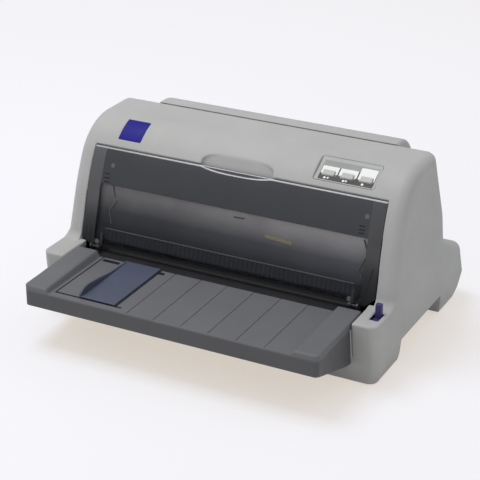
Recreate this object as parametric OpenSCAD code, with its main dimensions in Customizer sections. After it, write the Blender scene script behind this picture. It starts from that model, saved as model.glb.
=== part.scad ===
// Desktop dot matrix printer, flat-bed type, with a smoke front cover and a front paper tray.
// Axes: +X to the right of a person facing the printer, -Y towards that person, +Z up.
// The origin is on the desk, below the middle of the whole printer.

/* [Case] */
// Width of the case at its base
body_w = 422; // [416:1:426]
// Height of the crest above the desk
body_h = 211; // [209:1:214]
// Height of the decks beside the paper tray
deck_h = 76.3; // [75.5:0.1:77]
// Thickness of the plastic walls
wall = 2.6; // [2.4:0.1:2.8]
// Rounding between the hood and its side walls
edge_r = 13; // [9:1:14]

/* [Front cover] */
// Width of the smoke cover across its top
cover_w = 365; // [361:1:367]
// Thickness of the smoke cover
cover_t = 2.4; // [2:0.1:2.6]

/* [Paper tray] */
// Width of the paper tray
tray_w = 358.6; // [354:0.2:358.6]
// How far the tray reaches in front of the case
tray_reach = 79.5; // [70:0.5:79.5]
// Height of the tray floor
tray_floor = 69.5; // [69.2:0.1:69.7]
// Distance between the thin grooves in the tray floor
groove_pitch = 33.1; // [28:0.1:34]

/* [Rear cover] */
// Width of the rear cover
rear_w = 311; // [305:1:312]

/* [Control panel] */
// Width of the control panel
panel_w = 72; // [70:1:76]
// Distance between the buttons
button_pitch = 22.3; // [21.5:0.1:23]
// Travel of a button
button_travel = 1; // [0.8:0.1:1.1]

/* [Print mechanism] */
// Where the carriage rests, from the middle of the printer
carriage_x = 60; // [-80:1:90]
// Diameter of the carriage shaft
shaft_d = 12; // [11:0.5:12]
// Diameter of the feed rollers
roller_d = 16; // [15:0.5:16]
// Where the tractors rest, either side of the middle
tractor_x = 100; // [80:1:115]

/* [Hidden] */
$fn = 48;

// A surface just past another one, so that cuts go right through
over = 1;
// Running clearance of a pin or shaft in its bore, on the radius
fit = 0.06;
half_w = body_w / 2;

// ---- Colours
case_grey = [0.70, 0.71, 0.69];
tray_grey = [0.36, 0.36, 0.38];
guide_blue = [0.30, 0.33, 0.42];
sign_blue = [0.17, 0.16, 0.52];
black_plastic = [0.12, 0.12, 0.13];
steel = [0.66, 0.67, 0.69];
rubber_black = [0.08, 0.08, 0.08];
board_green = [0.09, 0.32, 0.20];

// ---- Hood outline, seen from the side, in [y, z]
crest_r = 63;
crest_c = [40, body_h - crest_r];
brow_r = 300;
lean_top = 24;
lean_low = 14.5;
brow_c = crest_c + (brow_r - crest_r) * [cos(lean_top), -sin(lean_top)];
nape_r = 7;
nape_c = [78, body_h - nape_r];
hood_low = 45;

function ring(c, r, a0, a1, n) = [for (i = [0:n]) let (a = a0 + (a1 - a0) * i / n) c + r * [cos(a), sin(a)]];

// Front surface, t inside the outside face, at height z on its straight lower stretch
function front_y(t, z) = let (e = brow_c + (brow_r - t) * [-cos(lean_low), sin(lean_low)])
    e[0] - (e[1] - z) * tan(lean_low);

// Front surface from the angle a_top of the crest arc down to the height z_low
function hood_front(t, z_low, a_top = 90) = concat(
    ring(crest_c, crest_r - t, a_top, 180 - lean_top, 10),
    ring(brow_c, brow_r - t, 180 - lean_top, 180 - lean_low, 5),
    [[front_y(t, z_low), z_low]]);

hood_rear = [[113, hood_low], [111.5, 95], [108, 132]];
hood_outline = concat(hood_rear, ring(nape_c, nape_r, 18, 90, 4), hood_front(0, hood_low));

// ---- Rear slab outline, in [y, z]; parting_z is where the two halves of the case meet
rear_y = 175;
parting_z = 32;
slab_front = 60;
slab_low = 20;
slab_r = 12;
slab_outline = concat([[slab_front, slab_low], [rear_y + 2.8, slab_low]],
    ring([154, 61], slab_r, 16, 64, 4), [[111, 95], [slab_front, 96]]);

// The sides lean in above the parting line
side_draft = 0.046;
function side_x(z) = half_w - (z - parting_z) * side_draft;
// A thin slice whose outer face is at x on the parting line, for a hull between both sides
slice_t = 0.4;
module slice(side, x) multmatrix([[1, 0, -side * side_draft, side * side_draft * parting_z],
    [0, 1, 0, 0], [0, 0, 1, 0], [0, 0, 0, 1]])
        along_x(side > 0 ? x - slice_t : -x, side > 0 ? x : slice_t - x) children();

// ---- Cheeks and lower case
cheek_in = 180;
cheek_front = -95.5;
cheek_lean = 0.141;
function cheek_y(z) = cheek_front + (deck_h - z) * cheek_lean;
cheek_r = 10;
foot_h = 1.2;

// ---- Front cover and window
window_half = 187;
cover_top_a = 33.7;
cover_low = 72.5;
cover_top_z = crest_c[1] + crest_r * sin(cover_top_a);
cover_low_half = cover_w / 2 + 3.5;
cover_gap = 0.6;
hinge_at = [-52, 73.5];
hinge_x = 160;
hinge_pin_r = 1.6;
knuckle_r = 3.4;

// ---- Rear cover
rear_half = rear_w / 2;
rear_front_y = 84.2;
rear_axis = [91, body_h - 6];
rear_pin_r = 1.5;
rear_lug_x = 124;
hump_r = 36;
hump_c = [96, body_h - hump_r];
hump_lean = 10;
hump_low = 97;

// ---- Blue plate on the crest: its ends in x, and its ends as angles on the crest arc
badge_x = [-157.5, -127.5];
badge_a = [107.2, 134.8];

// ---- Tray
tray_half = tray_w / 2;
tray_front = cheek_front - tray_reach;
tray_back = -66;
groove_x = -48;
rail_in = 153;
slot_y = [tray_front + 8, -75.6];
guide_x = [-113, -67.5];

// ---- Control panel
panel_l = 33;
panel_tilt = 31.3;
panel_at = [127.6, 8.35, body_h - 11.1];
button_x = [-button_pitch + 1.6, 1.6, button_pitch + 1.6];
button_y = -6;
button_w = 14;
button_l = 7;

// ---- Mechanism, in [y, z]
frame_x = 168;
frame_t = 2;
paper_z = 69.2;
feed_front = [-18, paper_z - roller_d / 2 - 0.3];
feed_rear = [48, paper_z - roller_d / 2 - 0.3];
press_r = 5;
press_z = paper_z + press_r + 0.3;
roller_half = 140;
axle_r = 3;
platen_y = 14;
shaft_at = [50, 98];
pulley_x = 146;
pulley_y = 80;
pulley_r = 7;
belt_z = 92;
belt_w = 6;
belt_t = 1.4;
tractor_at = [108, 80];
tractor_rail_at = [124.5, 75];
tractor_r = 4;
gear_m = 1;
gear_x = -frame_x - frame_t - 2;
gear_w = 8;
roller_teeth = 28;
idler_teeth = 38;
pinion_teeth = 12;
idler_at = [(feed_front[0] + feed_rear[0]) / 2, feed_front[1]];
pinion_a = -50;
pinion_at = idler_at + gear_m * (idler_teeth + pinion_teeth) / 2 * [cos(pinion_a), sin(pinion_a)];
lever_at = [-66, 48];
lever_x = 198.4;
lever_slot_y = [-78, -59];

// ================= Helpers

// A shape drawn in [y, z], extruded from x0 to x1
module along_x(x0, x1) translate([x0, 0, 0]) rotate([90, 0, 90]) linear_extrude(x1 - x0) children();
module rod_x(x0, x1, at, r) translate([x0, at[0], at[1]]) rotate([0, 90, 0]) cylinder(h = x1 - x0, r = r);
module along_y(y0, y1) translate([0, y1, 0]) rotate([90, 0, 0]) linear_extrude(y1 - y0) children();
module block(x0, x1, y0, y1, z0, z1) translate([x0, y0, z0]) cube([x1 - x0, y1 - y0, z1 - z0]);
module both_sides() for (side = [0, 1]) mirror([side, 0, 0]) children();
module rounded(w, l, r) {
    square([w, l - 2 * r], center = true);
    square([w - 2 * r, l], center = true);
    for (sx = [-1, 1]) for (sy = [-1, 1]) translate([sx * (w / 2 - r), sy * (l / 2 - r)]) circle(r);
}

// Spur gear drawn in its own plane, one tooth centred at the angle first
module gear(teeth, first) {
    pitch = gear_m * teeth / 2;
    step = 360 / teeth;
    polygon([for (i = [0:teeth - 1]) for (p = [[-0.36, -1.15], [-0.15, 0.8], [0.15, 0.8], [0.36, -1.15]])
        let (a = first + (i + p[0] * 0.72) * step) (pitch + p[1] * gear_m) * [cos(a), sin(a)]]);
}
module gear_x_at(at, teeth, first) translate([gear_x - gear_w, at[0], at[1]]) rotate([90, 0, 90])
    linear_extrude(gear_w) gear(teeth, first);

// ================= Case

// Hood as a solid, t inside the outside face
module hood(t) hull() for (side = [-1, 1]) for (a = [0, 35, 65, 90]) {
    slice(side, half_w - t - edge_r * (1 - sin(a)))
        offset(delta = -t - edge_r * (1 - cos(a))) polygon(hood_outline);
}

// Low rear part behind the hood
module slab(t) hull() for (side = [-1, 1]) for (k = [[8, 0], [2, 2], [0, 8]]) {
    slice(side, half_w - t - k[0]) offset(delta = -t - k[1]) polygon(slab_outline);
}

// Side wall with the deck beside the tray, on the +X side
module cheek() hull() for (k = [[parting_z + 0.01, 0], [deck_h - 5, 0], [deck_h - 1.5, 1.5], [deck_h, 5]]) {
    outer_x = side_x(k[0]);
    translate([0, 0, k[0] - 0.01]) linear_extrude(0.01) {
        translate([outer_x - cheek_r, cheek_y(k[0]) + cheek_r]) circle(cheek_r - k[1], $fn = 32);
        translate([cheek_in + 5, cheek_y(k[0]) + 5]) circle(5 - k[1] * 0.8, $fn = 32);
        translate([cheek_in + k[1] * 0.5, slab_front]) square([outer_x - cheek_in - k[1] * 1.5, 10]);
    }
}
// Room inside the case, in [y, z], between side walls that lean in
module room(x_in, x_out, outline) intersection() {
    along_x(x_in, x_out) polygon(outline);
    along_y(-110, 110)
        polygon([for (p = [[1, 0], [1, 100], [-1, 100], [-1, 0]]) [p[0] * (side_x(p[1]) - wall), p[1]]]);
}

// Block under the finger scoop, and the inner walls beside the window
module scoop_backing() along_x(-54, 54)
    polygon(concat(ring(crest_c, crest_r - 0.6, 124, 146, 6), ring(crest_c, crest_r - 8, 146, 124, 6)));
module window_jambs() both_sides() along_x(window_half, window_half + wall)
    polygon(concat(hood_front(1, 60, 180 - cover_top_a - 6), [[-12, 60], [16, 160], [20, 186]]));

// Walls at the ends of the rear paper slot, with holes for the shafts of the tractors
module slot_ends() both_sides() along_x(rear_half + 1.5, rear_half + 1.5 + wall) difference() {
    intersection() {
        polygon(slab_outline);
        translate([97, 64]) square([80, 40]);
    }
    for (p = [tractor_at, tractor_rail_at]) translate(p) circle(tractor_r + 1);
}

module window_cut() {
    corners = [[window_half, deck_h], [window_half, 82], [cover_w / 2 + 1, cover_top_z + 0.7]];
    along_y(-120, 24) polygon([for (p = corners)
        for (side = [-1, 1]) [side * p[0], p[1]]], [[0, 2, 4, 5, 3, 1]]);
    block(-cheek_in, cheek_in, -120, 40, 20, deck_h + over);
}
module scoop_cut() translate([0, crest_c[0] - crest_r * cos(40), crest_c[1] + crest_r * sin(40)])
    rotate([50, 0, 0]) translate([0, -6, -4]) linear_extrude(12)
        polygon([for (i = [0:35]) [46 * cos(i * 10), 17 * sin(i * 10)]]);
module rear_cut() {
    block(-rear_half - 1.5, rear_half + 1.5, rear_front_y, 130, deck_h + 18, body_h + over);
    // The edge of the crest follows the swing of the rear cover
    rod_x(-rear_half - 1.5, rear_half + 1.5, rear_axis, norm([rear_front_y, body_h] - rear_axis) + 0.5);
    // Slot for continuous paper below the rear cover
    block(-rear_half - 1.5, rear_half + 1.5, 96, 170, 73, deck_h + 20);
}
module port_cuts() {
    block(-188, -112, 150, 190, 34, 61);
    block(84, 188, 150, 190, 34, 61);
}
module on_panel() translate(panel_at) rotate([panel_tilt, 0, 0]) children();

// Arms that reach back under the rear cover and hold its pins
module rear_arms() difference() {
    both_sides() along_x(rear_lug_x + 3.6, rear_lug_x + 7) polygon([for (p = [[-19, 4], [-19, -15], [4, -15],
        [4, 0], [1.5, 3], [-1.5, 3], [-3, 0], [-3, -10], [-13, -10], [-13, 4]]) rear_axis + p]);
    rod_x(-rear_half, rear_half, rear_axis, rear_pin_r);
}
module upper_case() color(case_grey) {
    case_shell();
    rear_arms();
}
module case_shell() difference() {
    union() {
        difference() {
            union() {
                hood(0);
                slab(0);
                both_sides() cheek();
            }
            hood(wall);
            translate([0, 0, -wall]) slab(wall);
            block(-half_w - over, half_w + over, slab_front - over, rear_y + 5, slab_low - over, parting_z);
            // Inside of the cheeks and of the hood's foot, open at the bottom
            both_sides() room(cheek_in + wall, half_w, [[cheek_y(29) + 6, 29],
                [cheek_y(deck_h) + 6, deck_h - wall], [75, deck_h - wall], [75, 29]]);
            room(-half_w, half_w, [[-30, 29], [-30, 97], [104, 97], [104, 29]]);
            block(-window_half, window_half, -44, 0, 29, deck_h + over);
        }
        window_jambs();
        slot_ends();
        scoop_backing();
    }
    window_cut();
    scoop_cut();
    rear_cut();
    port_cuts();
    on_panel() translate([0, 0, -6]) linear_extrude(12) square([panel_w, panel_l], center = true);
    // Recess of the badge plate
    along_x(badge_x[0] - 0.2, badge_x[1] + 0.2) polygon(concat(
        ring(crest_c, crest_r - 0.8, badge_a[0] - 0.2, badge_a[1] + 0.2, 6),
        ring(crest_c, crest_r + 4, badge_a[1] + 0.2, badge_a[0] - 0.2, 6)));
    // Slot of the release lever
    block(lever_x - 5.1, lever_x + 5.1, lever_slot_y[0], lever_slot_y[1], 60, deck_h + over);
}

// Bottom half of the case as a solid, t inside the outside face
module tub(t) hull() for (k = [[foot_h + t, 6, 12], [12, 3, 5], [parting_z + (t > 0 ? over : 0), 0, 0]])
    for (sx = [-1, 1]) {
        z = k[0];
        translate([sx * (half_w - k[1] - cheek_r), cheek_y(z) + cheek_r, z - 0.01])
            cylinder(h = 0.01, r = cheek_r - t, $fn = 32);
        translate([sx * (half_w - k[1] - cheek_r), rear_y - k[2] - cheek_r, z - 0.01])
            cylinder(h = 0.01, r = cheek_r - t, $fn = 32);
    }
hold_top = 29.2;
hand_hold = [[-17, -1], [-23, hold_top], [96, hold_top], [108.5, -1]];
post_at = [[150, -30, 22], [150, 50, 22], [169, 112, 24]];
boss_at = [[176, -60], [176, 149]];
module lower_case() color(case_grey) difference() {
    union() {
        difference() {
            tub(0);
            difference() {
                tub(wall);
                both_sides() along_x(182 - wall, 215)
                    polygon([[-20, -2], [-26, hold_top + wall], [98, hold_top + wall], [112.5, -2]]);
            }
            both_sides() along_x(182, 215) polygon(hand_hold);
        }
        // Front wall that carries the paper tray
        along_x(-cheek_in, cheek_in) polygon([[cheek_y(29), 29], [cheek_y(67.5), 67.5],
            [cheek_y(67.5) + wall, 67.5], [cheek_y(29) + wall, 29]]);
        both_sides() for (p = post_at) translate([p[0], p[1], foot_h + over])
            cylinder(h = p[2] - foot_h - over, r = 5);
        both_sides() for (p = boss_at) translate([p[0], p[1], foot_h]) cylinder(h = 29 - foot_h, r = 6);
        for (x = [24, 156]) for (y = [70, 146]) translate([x, y, foot_h + over])
            cylinder(h = 11 - foot_h, r = 3.5);
        for (x = [-156, -24]) for (y = [70, 146]) translate([x, y, foot_h + over])
            cylinder(h = 7 - foot_h, r = 3.5);
    }
    both_sides() for (p = boss_at) translate([p[0], p[1], foot_h - over]) {
        cylinder(h = 7, r = 4.3);
        cylinder(h = 40, r = 1.6);
    }
}
module rubber_feet() color(rubber_black) both_sides() for (y = [-62, 148])
    translate([150, y, 0]) cylinder(h = foot_h - 0.01, r = 9);
module case_screws() color(steel) both_sides() for (p = boss_at) translate([p[0], p[1], foot_h]) {
    translate([0, 0, 3]) cylinder(h = 3, r = 4);
    translate([0, 0, 3]) cylinder(h = 23, r = 1.5);
}
module badge_plate() color(sign_blue) along_x(badge_x[0], badge_x[1])
    polygon(concat(ring(crest_c, crest_r - 0.7, badge_a[0], badge_a[1], 6),
        ring(crest_c, crest_r + 0.4, badge_a[1], badge_a[0], 6)));

// ================= Control panel

module control_panel() color(case_grey) on_panel() difference() {
    union() {
        translate([0, 0, -3]) linear_extrude(2.6) square([panel_w, panel_l], center = true);
        for (sx = [-1, 1]) for (sy = [-1, 1]) translate([sx * 33, sy * 14, -10.4]) cylinder(h = 8, r = 2);
    }
    for (x = button_x) translate([x, button_y, -4]) linear_extrude(5)
        square([button_w + 0.8, button_l + 0.8], center = true);
    for (x = button_x) translate([x - 3, -12.4, -4]) cylinder(h = 5, r = 1.6);
}
module panel_board() color(board_green) on_panel() {
    translate([0, 0, -12]) linear_extrude(1.6) square([66, 28], center = true);
    for (x = button_x) translate([x, button_y, -10.5]) linear_extrude(2.2) square(6, center = true);
}
module panel_lamps() color("ivory") on_panel() for (x = button_x)
    translate([x - 3, -12.4, -10.4]) cylinder(h = 10.2, r = 1.45);
module button_at(x) color([0.62, 0.63, 0.61]) on_panel() translate([x, button_y, 0]) {
    translate([0, 0, -4]) linear_extrude(5.6) square([button_w, button_l], center = true);
    translate([0, 0, -4.6]) linear_extrude(1) square([button_w + 3, button_l + 2], center = true);
    translate([0, 0, -7.1]) cylinder(h = 3, r = 2);
}
module button_left() button_at(button_x[0]);
module button_middle() button_at(button_x[1]);
module button_right() button_at(button_x[2]);

// ================= Front tray and edge guide

module front_tray() color(tray_grey) difference() {
    union() {
        block(-tray_half, tray_half, tray_front, tray_back, tray_floor - 2, tray_floor);
        // Front skirt, with rounded corners
        difference() {
            linear_extrude(tray_floor + 1.5) {
                translate([0, (tray_front + tray_back) / 2]) rounded(tray_w, tray_back - tray_front, 5);
            }
            block(-tray_half + 2.4, tray_half - 2.4, tray_front + 2.4, 0, -over, tray_floor - 1);
            block(-tray_half + 12, tray_half - 12, tray_front - over, 0, tray_floor, 90);
            both_sides() along_x(0, tray_half + over) polygon([[tray_front - over, -over],
                [tray_front - over, 49.5], [tray_front + 2.4, 49.5], [-101, 26.3], [cheek_y(24) - 0.6, 24],
                [cheek_y(66) - 0.6, tray_floor - 2], [tray_back + over, tray_floor - 2],
                [tray_back + over, -over]]);
        }
        // Side rails, higher towards the case, with sloped inner sides
        both_sides() difference() {
            along_x(rail_in - 6, tray_half) polygon([[tray_front, tray_floor - 1], [tray_front, 73.2],
                [tray_front + 2, 74.6], [tray_back, 77], [tray_back, tray_floor - 1]]);
            translate([0, tray_front - over, 0]) rotate([90, 0, 180]) mirror([1, 0, 0])
                linear_extrude(tray_back - tray_front + 2 * over)
                    polygon([[rail_in - 7, tray_floor], [rail_in - 7, 90], [rail_in + 1, 90], [rail_in, 77.4],
                        [rail_in - 5, tray_floor]]);
        }
    }
    // Corner rounding of the rails at the front
    for (sx = [-1, 1]) translate([sx * (tray_half - 5), tray_front + 5, tray_floor - 3]) difference() {
        translate([sx > 0 ? 0 : -6, -6, 0]) cube([6, 6, 20]);
        translate([0, 0, -1]) cylinder(h = 22, r = 5);
    }
    for (k = [0:5]) translate([groove_x + k * groove_pitch, 0, 0]) block(-0.4, 0.4, tray_front - over,
        tray_back - 2, tray_floor - 0.6, tray_floor + over);
    block(-140, -59, slot_y[0], slot_y[0] + 2, 60, 90);
    block(-140, -59, slot_y[1], slot_y[1] + 2.4, 60, 90);
}
module edge_guide() color(guide_blue) {
    block(guide_x[0], guide_x[1], tray_front + 9.4, tray_back, tray_floor + 0.3, tray_floor + 2.1);
    block(guide_x[0] + 3, guide_x[1] - 3, tray_front + 9.4, tray_front + 9.8, tray_floor - 3, tray_floor + 1);
    block(guide_x[0] + 3, guide_x[1] - 3, slot_y[0] + 0.4, slot_y[0] + 1.6, tray_floor - 4, tray_floor + 1);
    block(guide_x[0] + 3, guide_x[1] - 3, slot_y[1] + 0.5, slot_y[1] + 1.9, tray_floor - 4, tray_floor + 1);
    // Fence that the edge of the paper lies against, highest near the front
    along_x(guide_x[0], guide_x[0] + 2.4) translate([tray_front, tray_floor]) polygon([[9.4, 1], [9.4, 4.5],
        [13, 7.5], [19, 9.6], [27, 9.9], [44, 8.2], [70, 4.4], [tray_back - tray_front, 2.6],
        [tray_back - tray_front, 1]]);
}

// ================= Covers

function reversed(list) = [for (i = [len(list) - 1:-1:0]) list[i]];
function cover_side(t) = hood_front(t, cover_low, 180 - cover_top_a);
function cover_band(t0, t1) = concat(cover_side(t0), reversed(cover_side(t1)));
cover_face = [[-cover_w / 2, body_h], [cover_w / 2, body_h], [cover_low_half, 82], [175, cover_low],
    [-175, cover_low], [-cover_low_half, 82]];
module cover_front_shape(inset) translate([0, 60, 0]) rotate([90, 0, 0]) linear_extrude(160)
    polygon([for (p = cover_face) [p[0] - sign(p[0]) * inset, p[1]]]);
module front_cover() color([0.22, 0.23, 0.25, 0.75]) difference() {
    union() {
        intersection() {
            along_x(-window_half, window_half) polygon(cover_band(cover_gap, cover_gap + cover_t));
            cover_front_shape(0);
        }
        // Side flanges and top lip
        intersection() {
            along_x(-window_half, window_half) polygon(cover_band(cover_gap + 1, cover_gap + 9));
            difference() {
                cover_front_shape(0);
                cover_front_shape(2.2);
            }
        }
        // Knuckles below its lower edge
        both_sides() along_x(hinge_x - 2, hinge_x + 1.8) {
            translate(hinge_at) circle(knuckle_r);
            polygon([hinge_at - [0, knuckle_r], [-43, 71.5], [-42, 88], [-43.5, 88], [-47.5, 74],
                hinge_at + [0, knuckle_r]]);
        }
    }
    rod_x(-window_half, window_half, hinge_at, hinge_pin_r + fit);
}
module front_cover_pins() color(steel) both_sides()
    rod_x(hinge_x - 3, frame_x + frame_t, hinge_at, hinge_pin_r);

function hump_curve(t) = let (e = hump_c + (hump_r - t) * [cos(hump_lean), sin(hump_lean)])
    concat([[rear_front_y, body_h - t]], ring(hump_c, hump_r - t, 90, hump_lean, 8),
        [[e[0] + (e[1] - hump_low) * tan(hump_lean), hump_low]]);
module rear_cover() color(case_grey) difference() {
    union() {
        along_x(-rear_half, rear_half) polygon(concat(hump_curve(0), reversed(hump_curve(wall))));
        both_sides() along_x(rear_half - wall, rear_half) polygon(concat(hump_curve(0),
            [[105, hump_low], [101, 132], [86, 180], [rear_front_y, body_h - 12]]));
        both_sides() along_x(rear_lug_x, rear_lug_x + 3.2) polygon([for (p = [[-3, 4], [-3, -2], [-1, -3.2],
            [1, -3.2], [3.5, -1.5], [3.5, 4]]) rear_axis + p]);
    }
    rod_x(-rear_half + 5, rear_half - 5, rear_axis, rear_pin_r + fit);
}
module rear_cover_pins() color(steel) both_sides()
    rod_x(rear_lug_x - 1, rear_lug_x + 7, rear_axis, rear_pin_r);

// ================= Release lever

module release_lever() color([0.24, 0.21, 0.45]) difference() {
    union() {
        rod_x(lever_x - 4, lever_x + 4, lever_at, 6);
        along_x(lever_x - 4, lever_x + 4) translate(lever_at)
            polygon([[-4, 3], [0, 24], [0.5, 38], [2, 41], [6, 41], [6.2, 26], [4, 2]]);
    }
    rod_x(lever_x - 5, lever_x + 5, lever_at, axle_r + fit);
}
module lever_bracket() color(steel) {
    block(187, 190.5, -76, -56, foot_h + wall, 54);
    rod_x(190, lever_x + 4.6, lever_at, axle_r);
}

// ================= Frame

module chassis_pan() color(steel) {
    block(-frame_x - frame_t, frame_x + frame_t, -42, 62, 22, 24);
    block(-frame_x, frame_x, -42, -40, 23, 34);
}
module side_frame() difference() {
    along_x(frame_x, frame_x + frame_t) difference() {
        union() {
            polygon([[-30, 24], [131, 24], [131, 79], [112, 88], [103, 92], [103, 128], [-12, 128],
                [-30, 100]]);
            // Ear under the lower edge of the front cover
            translate(hinge_at) circle(hinge_pin_r + 1.6);
            polygon([hinge_at + [-3, -1], hinge_at + [0, -7], [-25, 62], [-25, 71.5], hinge_at + [3.1, -2]]);
        }
        for (p = [feed_front, feed_rear]) translate(p) circle(axle_r + fit);
        for (y = [feed_front[0], feed_rear[0]]) translate([y, press_z]) circle(2 + fit);
        translate(tractor_at) circle(axle_r + fit);
        translate(hinge_at) circle(hinge_pin_r);
        for (p = [[0, 40], [80, 40], [80, 112]]) translate(p) circle(5);
    }
}
module side_frame_right() color(steel) side_frame();
module side_frame_left() color(steel) {
    difference() {
        mirror([1, 0, 0]) side_frame();
        rod_x(-frame_x - frame_t - over, -frame_x + over, pinion_at, 8);
    }
    rod_x(gear_x - gear_w - 1, -frame_x - 1, idler_at, axle_r);
    rod_x(-frame_x - 1, -frame_x + 8, [70, 118], axle_r);
}
module front_rail() color(steel) {
    block(-frame_x, frame_x, -26, -16, 96.5, 98);
    block(-frame_x, frame_x, -26, -24.5, 88, 97);
}
module rear_beam() color(steel) {
    block(-frame_x, frame_x, 91, 93, 84, 98);
    block(28, 46, 91, 93, 97, 113);
    block(28, 46, 84.8, 92, 99.5, 113);
}

// ================= Carriage and its drive

module carriage_shaft() color([0.8, 0.8, 0.82]) rod_x(-frame_x, frame_x, shaft_at, shaft_d / 2);
module carriage() color(black_plastic) translate([carriage_x, 0, 0]) difference() {
    union() {
        block(-30, 30, -12, 46, 86, 90);
        block(-20, 20, -14, -11, 86, 102);
        block(-20, 20, -27, -11, 98.8, 102);
        rod_x(-30, 30, shaft_at, 10);
        block(-9, 9, 58, 71, 94, 99);
        block(-12, -9, 58, 64, 94, 112);
    }
    rod_x(-40, 40, shaft_at, shaft_d / 2 + fit);
    block(-11, 11, 5, 23, 80, 95);
}
module print_head() color([0.55, 0.56, 0.58]) translate([carriage_x, 0, 0]) {
    along_x(-9, 9) polygon([[8, 90.5], [10, 71.2], [18, 71.2], [20, 90.5]]);
    block(-20, 20, -6, 34, 90, 97);
    for (k = [0:6]) block(-20, 20, -6 + k * 6.25, -3.5 + k * 6.25, 96, 112);
}
module head_cable() color([0.85, 0.85, 0.82]) translate([carriage_x - 42, 0, 103]) {
    block(0, 30, 62.2, 63, 0, 9);
    block(0, 28, 83.5, 84.3, 0, 9);
    translate([0, 73.25, 0]) rotate([0, 0, 90]) rotate_extrude(angle = 180)
        translate([10.25, 0]) square([0.8, 9]);
}
module carriage_motor() color([0.3, 0.3, 0.32]) {
    block(126, frame_x, 60, 96, 100.5, 102);
    translate([pulley_x, pulley_y, 102]) cylinder(h = 36, r = 16);
    translate([pulley_x, pulley_y, 90]) cylinder(h = 14, r = 2);
}
module pulley() difference() {
    union() {
        cylinder(h = 9, r = pulley_r);
        cylinder(h = 0.8, r = pulley_r + 2);
        translate([0, 0, 8.2]) cylinder(h = 0.8, r = pulley_r + 2);
    }
    translate([0, 0, -over]) cylinder(h = 12, r = 2 + fit);
}
module drive_pulley() color([0.75, 0.72, 0.6]) translate([pulley_x, pulley_y, belt_z - 1.5]) pulley();
module idler_pulley() color([0.75, 0.72, 0.6]) translate([-pulley_x, pulley_y, belt_z - 1.5]) pulley();
module idler_bracket() color(steel) {
    block(-frame_x, -pulley_x + 14, 66, 94, 100.5, 102);
    translate([-pulley_x, pulley_y, 90]) cylinder(h = 11, r = 2);
}
module timing_belt() color(rubber_black)
    translate([0, pulley_y, belt_z]) linear_extrude(belt_w) difference() {
    union() {
        for (sx = [-1, 1]) translate([sx * pulley_x, 0]) circle(pulley_r + 0.3 + belt_t);
        square([2 * pulley_x, 2 * (pulley_r + 0.3 + belt_t)], center = true);
    }
    for (sx = [-1, 1]) translate([sx * pulley_x, 0]) circle(pulley_r + 0.3);
    square([2 * pulley_x, 2 * (pulley_r + 0.3)], center = true);
}

// ================= Ribbon

module ribbon_cartridge() color(black_plastic) difference() {
    union() {
        block(-150, 150, -4, 38, 119, 138);
        block(-146, 146, 0, 34, 137, 140);
        both_sides() block(149, frame_x, 6, 22, 119, 124);
        both_sides() block(144, 152, 4, 24, 70, 120);
    }
    translate([-120, 17, 127]) cylinder(h = 20, r = 4 + fit);
}
module ribbon_band() color([0.05, 0.05, 0.06]) block(-144, 144, 8, 20, 70, 70.4);
module ribbon_knob() color([0.3, 0.3, 0.32]) translate([-120, 17, 0]) difference() {
    union() {
        translate([0, 0, 128]) cylinder(h = 14, r = 4);
        translate([0, 0, 140.4]) cylinder(h = 8, r = 10);
    }
    for (a = [0:30:330]) rotate([0, 0, a]) translate([11, 0, 140]) cylinder(h = 10, r = 1.8);
}

// ================= Paper path

module platen() color(black_plastic) {
    block(-frame_x, frame_x, platen_y - 6, platen_y + 6, 58, 66.5);
    block(-roller_half, roller_half, platen_y - 5, platen_y + 5, 66, 68.6);
}
module paper_bed() color(black_plastic) difference() {
    union() {
        along_x(-frame_x, frame_x) polygon([[-64, 64.5], [-38, 64.5], [-38, 66.5], [88, 66.5], [88, 68.5],
            [-40, 68.5], [-42, 66.5], [-64, 66.5]]);
        along_x(-rear_half, rear_half)
            polygon([[86, 64.5], [152, 64.5], [152, 66.5], [89, 66.5], [88, 68.5], [86, 68.5]]);
    }
    block(-roller_half - 2, roller_half + 2, feed_front[0] - 10, feed_front[0] + 10, 60, 80);
    block(-roller_half - 2, roller_half + 2, feed_rear[0] - 10, feed_rear[0] + 10, 60, 80);
    block(-roller_half - over, roller_half + over, platen_y - 5.5, platen_y + 5.5, 60, 80);
}
module feed_roller(at, first) {
    rod_x(-roller_half, roller_half, at, roller_d / 2);
    rod_x(gear_x - 2, frame_x + frame_t + 2, at, axle_r);
    gear_x_at(at, roller_teeth, first);
}
module front_feed_roller() color(rubber_black) feed_roller(feed_front, 0);
module rear_feed_roller() color(rubber_black) feed_roller(feed_rear, 180);
module pressure_roller(y) {
    for (x = [-100, -20, 60]) rod_x(x, x + 40, [y, press_z], press_r);
    rod_x(-frame_x - frame_t - 1, frame_x + frame_t + 1, [y, press_z], 2);
}
module front_pressure_roller() color([0.4, 0.4, 0.42]) pressure_roller(feed_front[0]);
module rear_pressure_roller() color([0.4, 0.4, 0.42]) pressure_roller(feed_rear[0]);
module feed_motor() color([0.3, 0.3, 0.32]) {
    rod_x(-frame_x, -frame_x + 28, pinion_at, 15);
    rod_x(gear_x - gear_w - 1, -frame_x + 1, pinion_at, 2);
}
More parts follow.
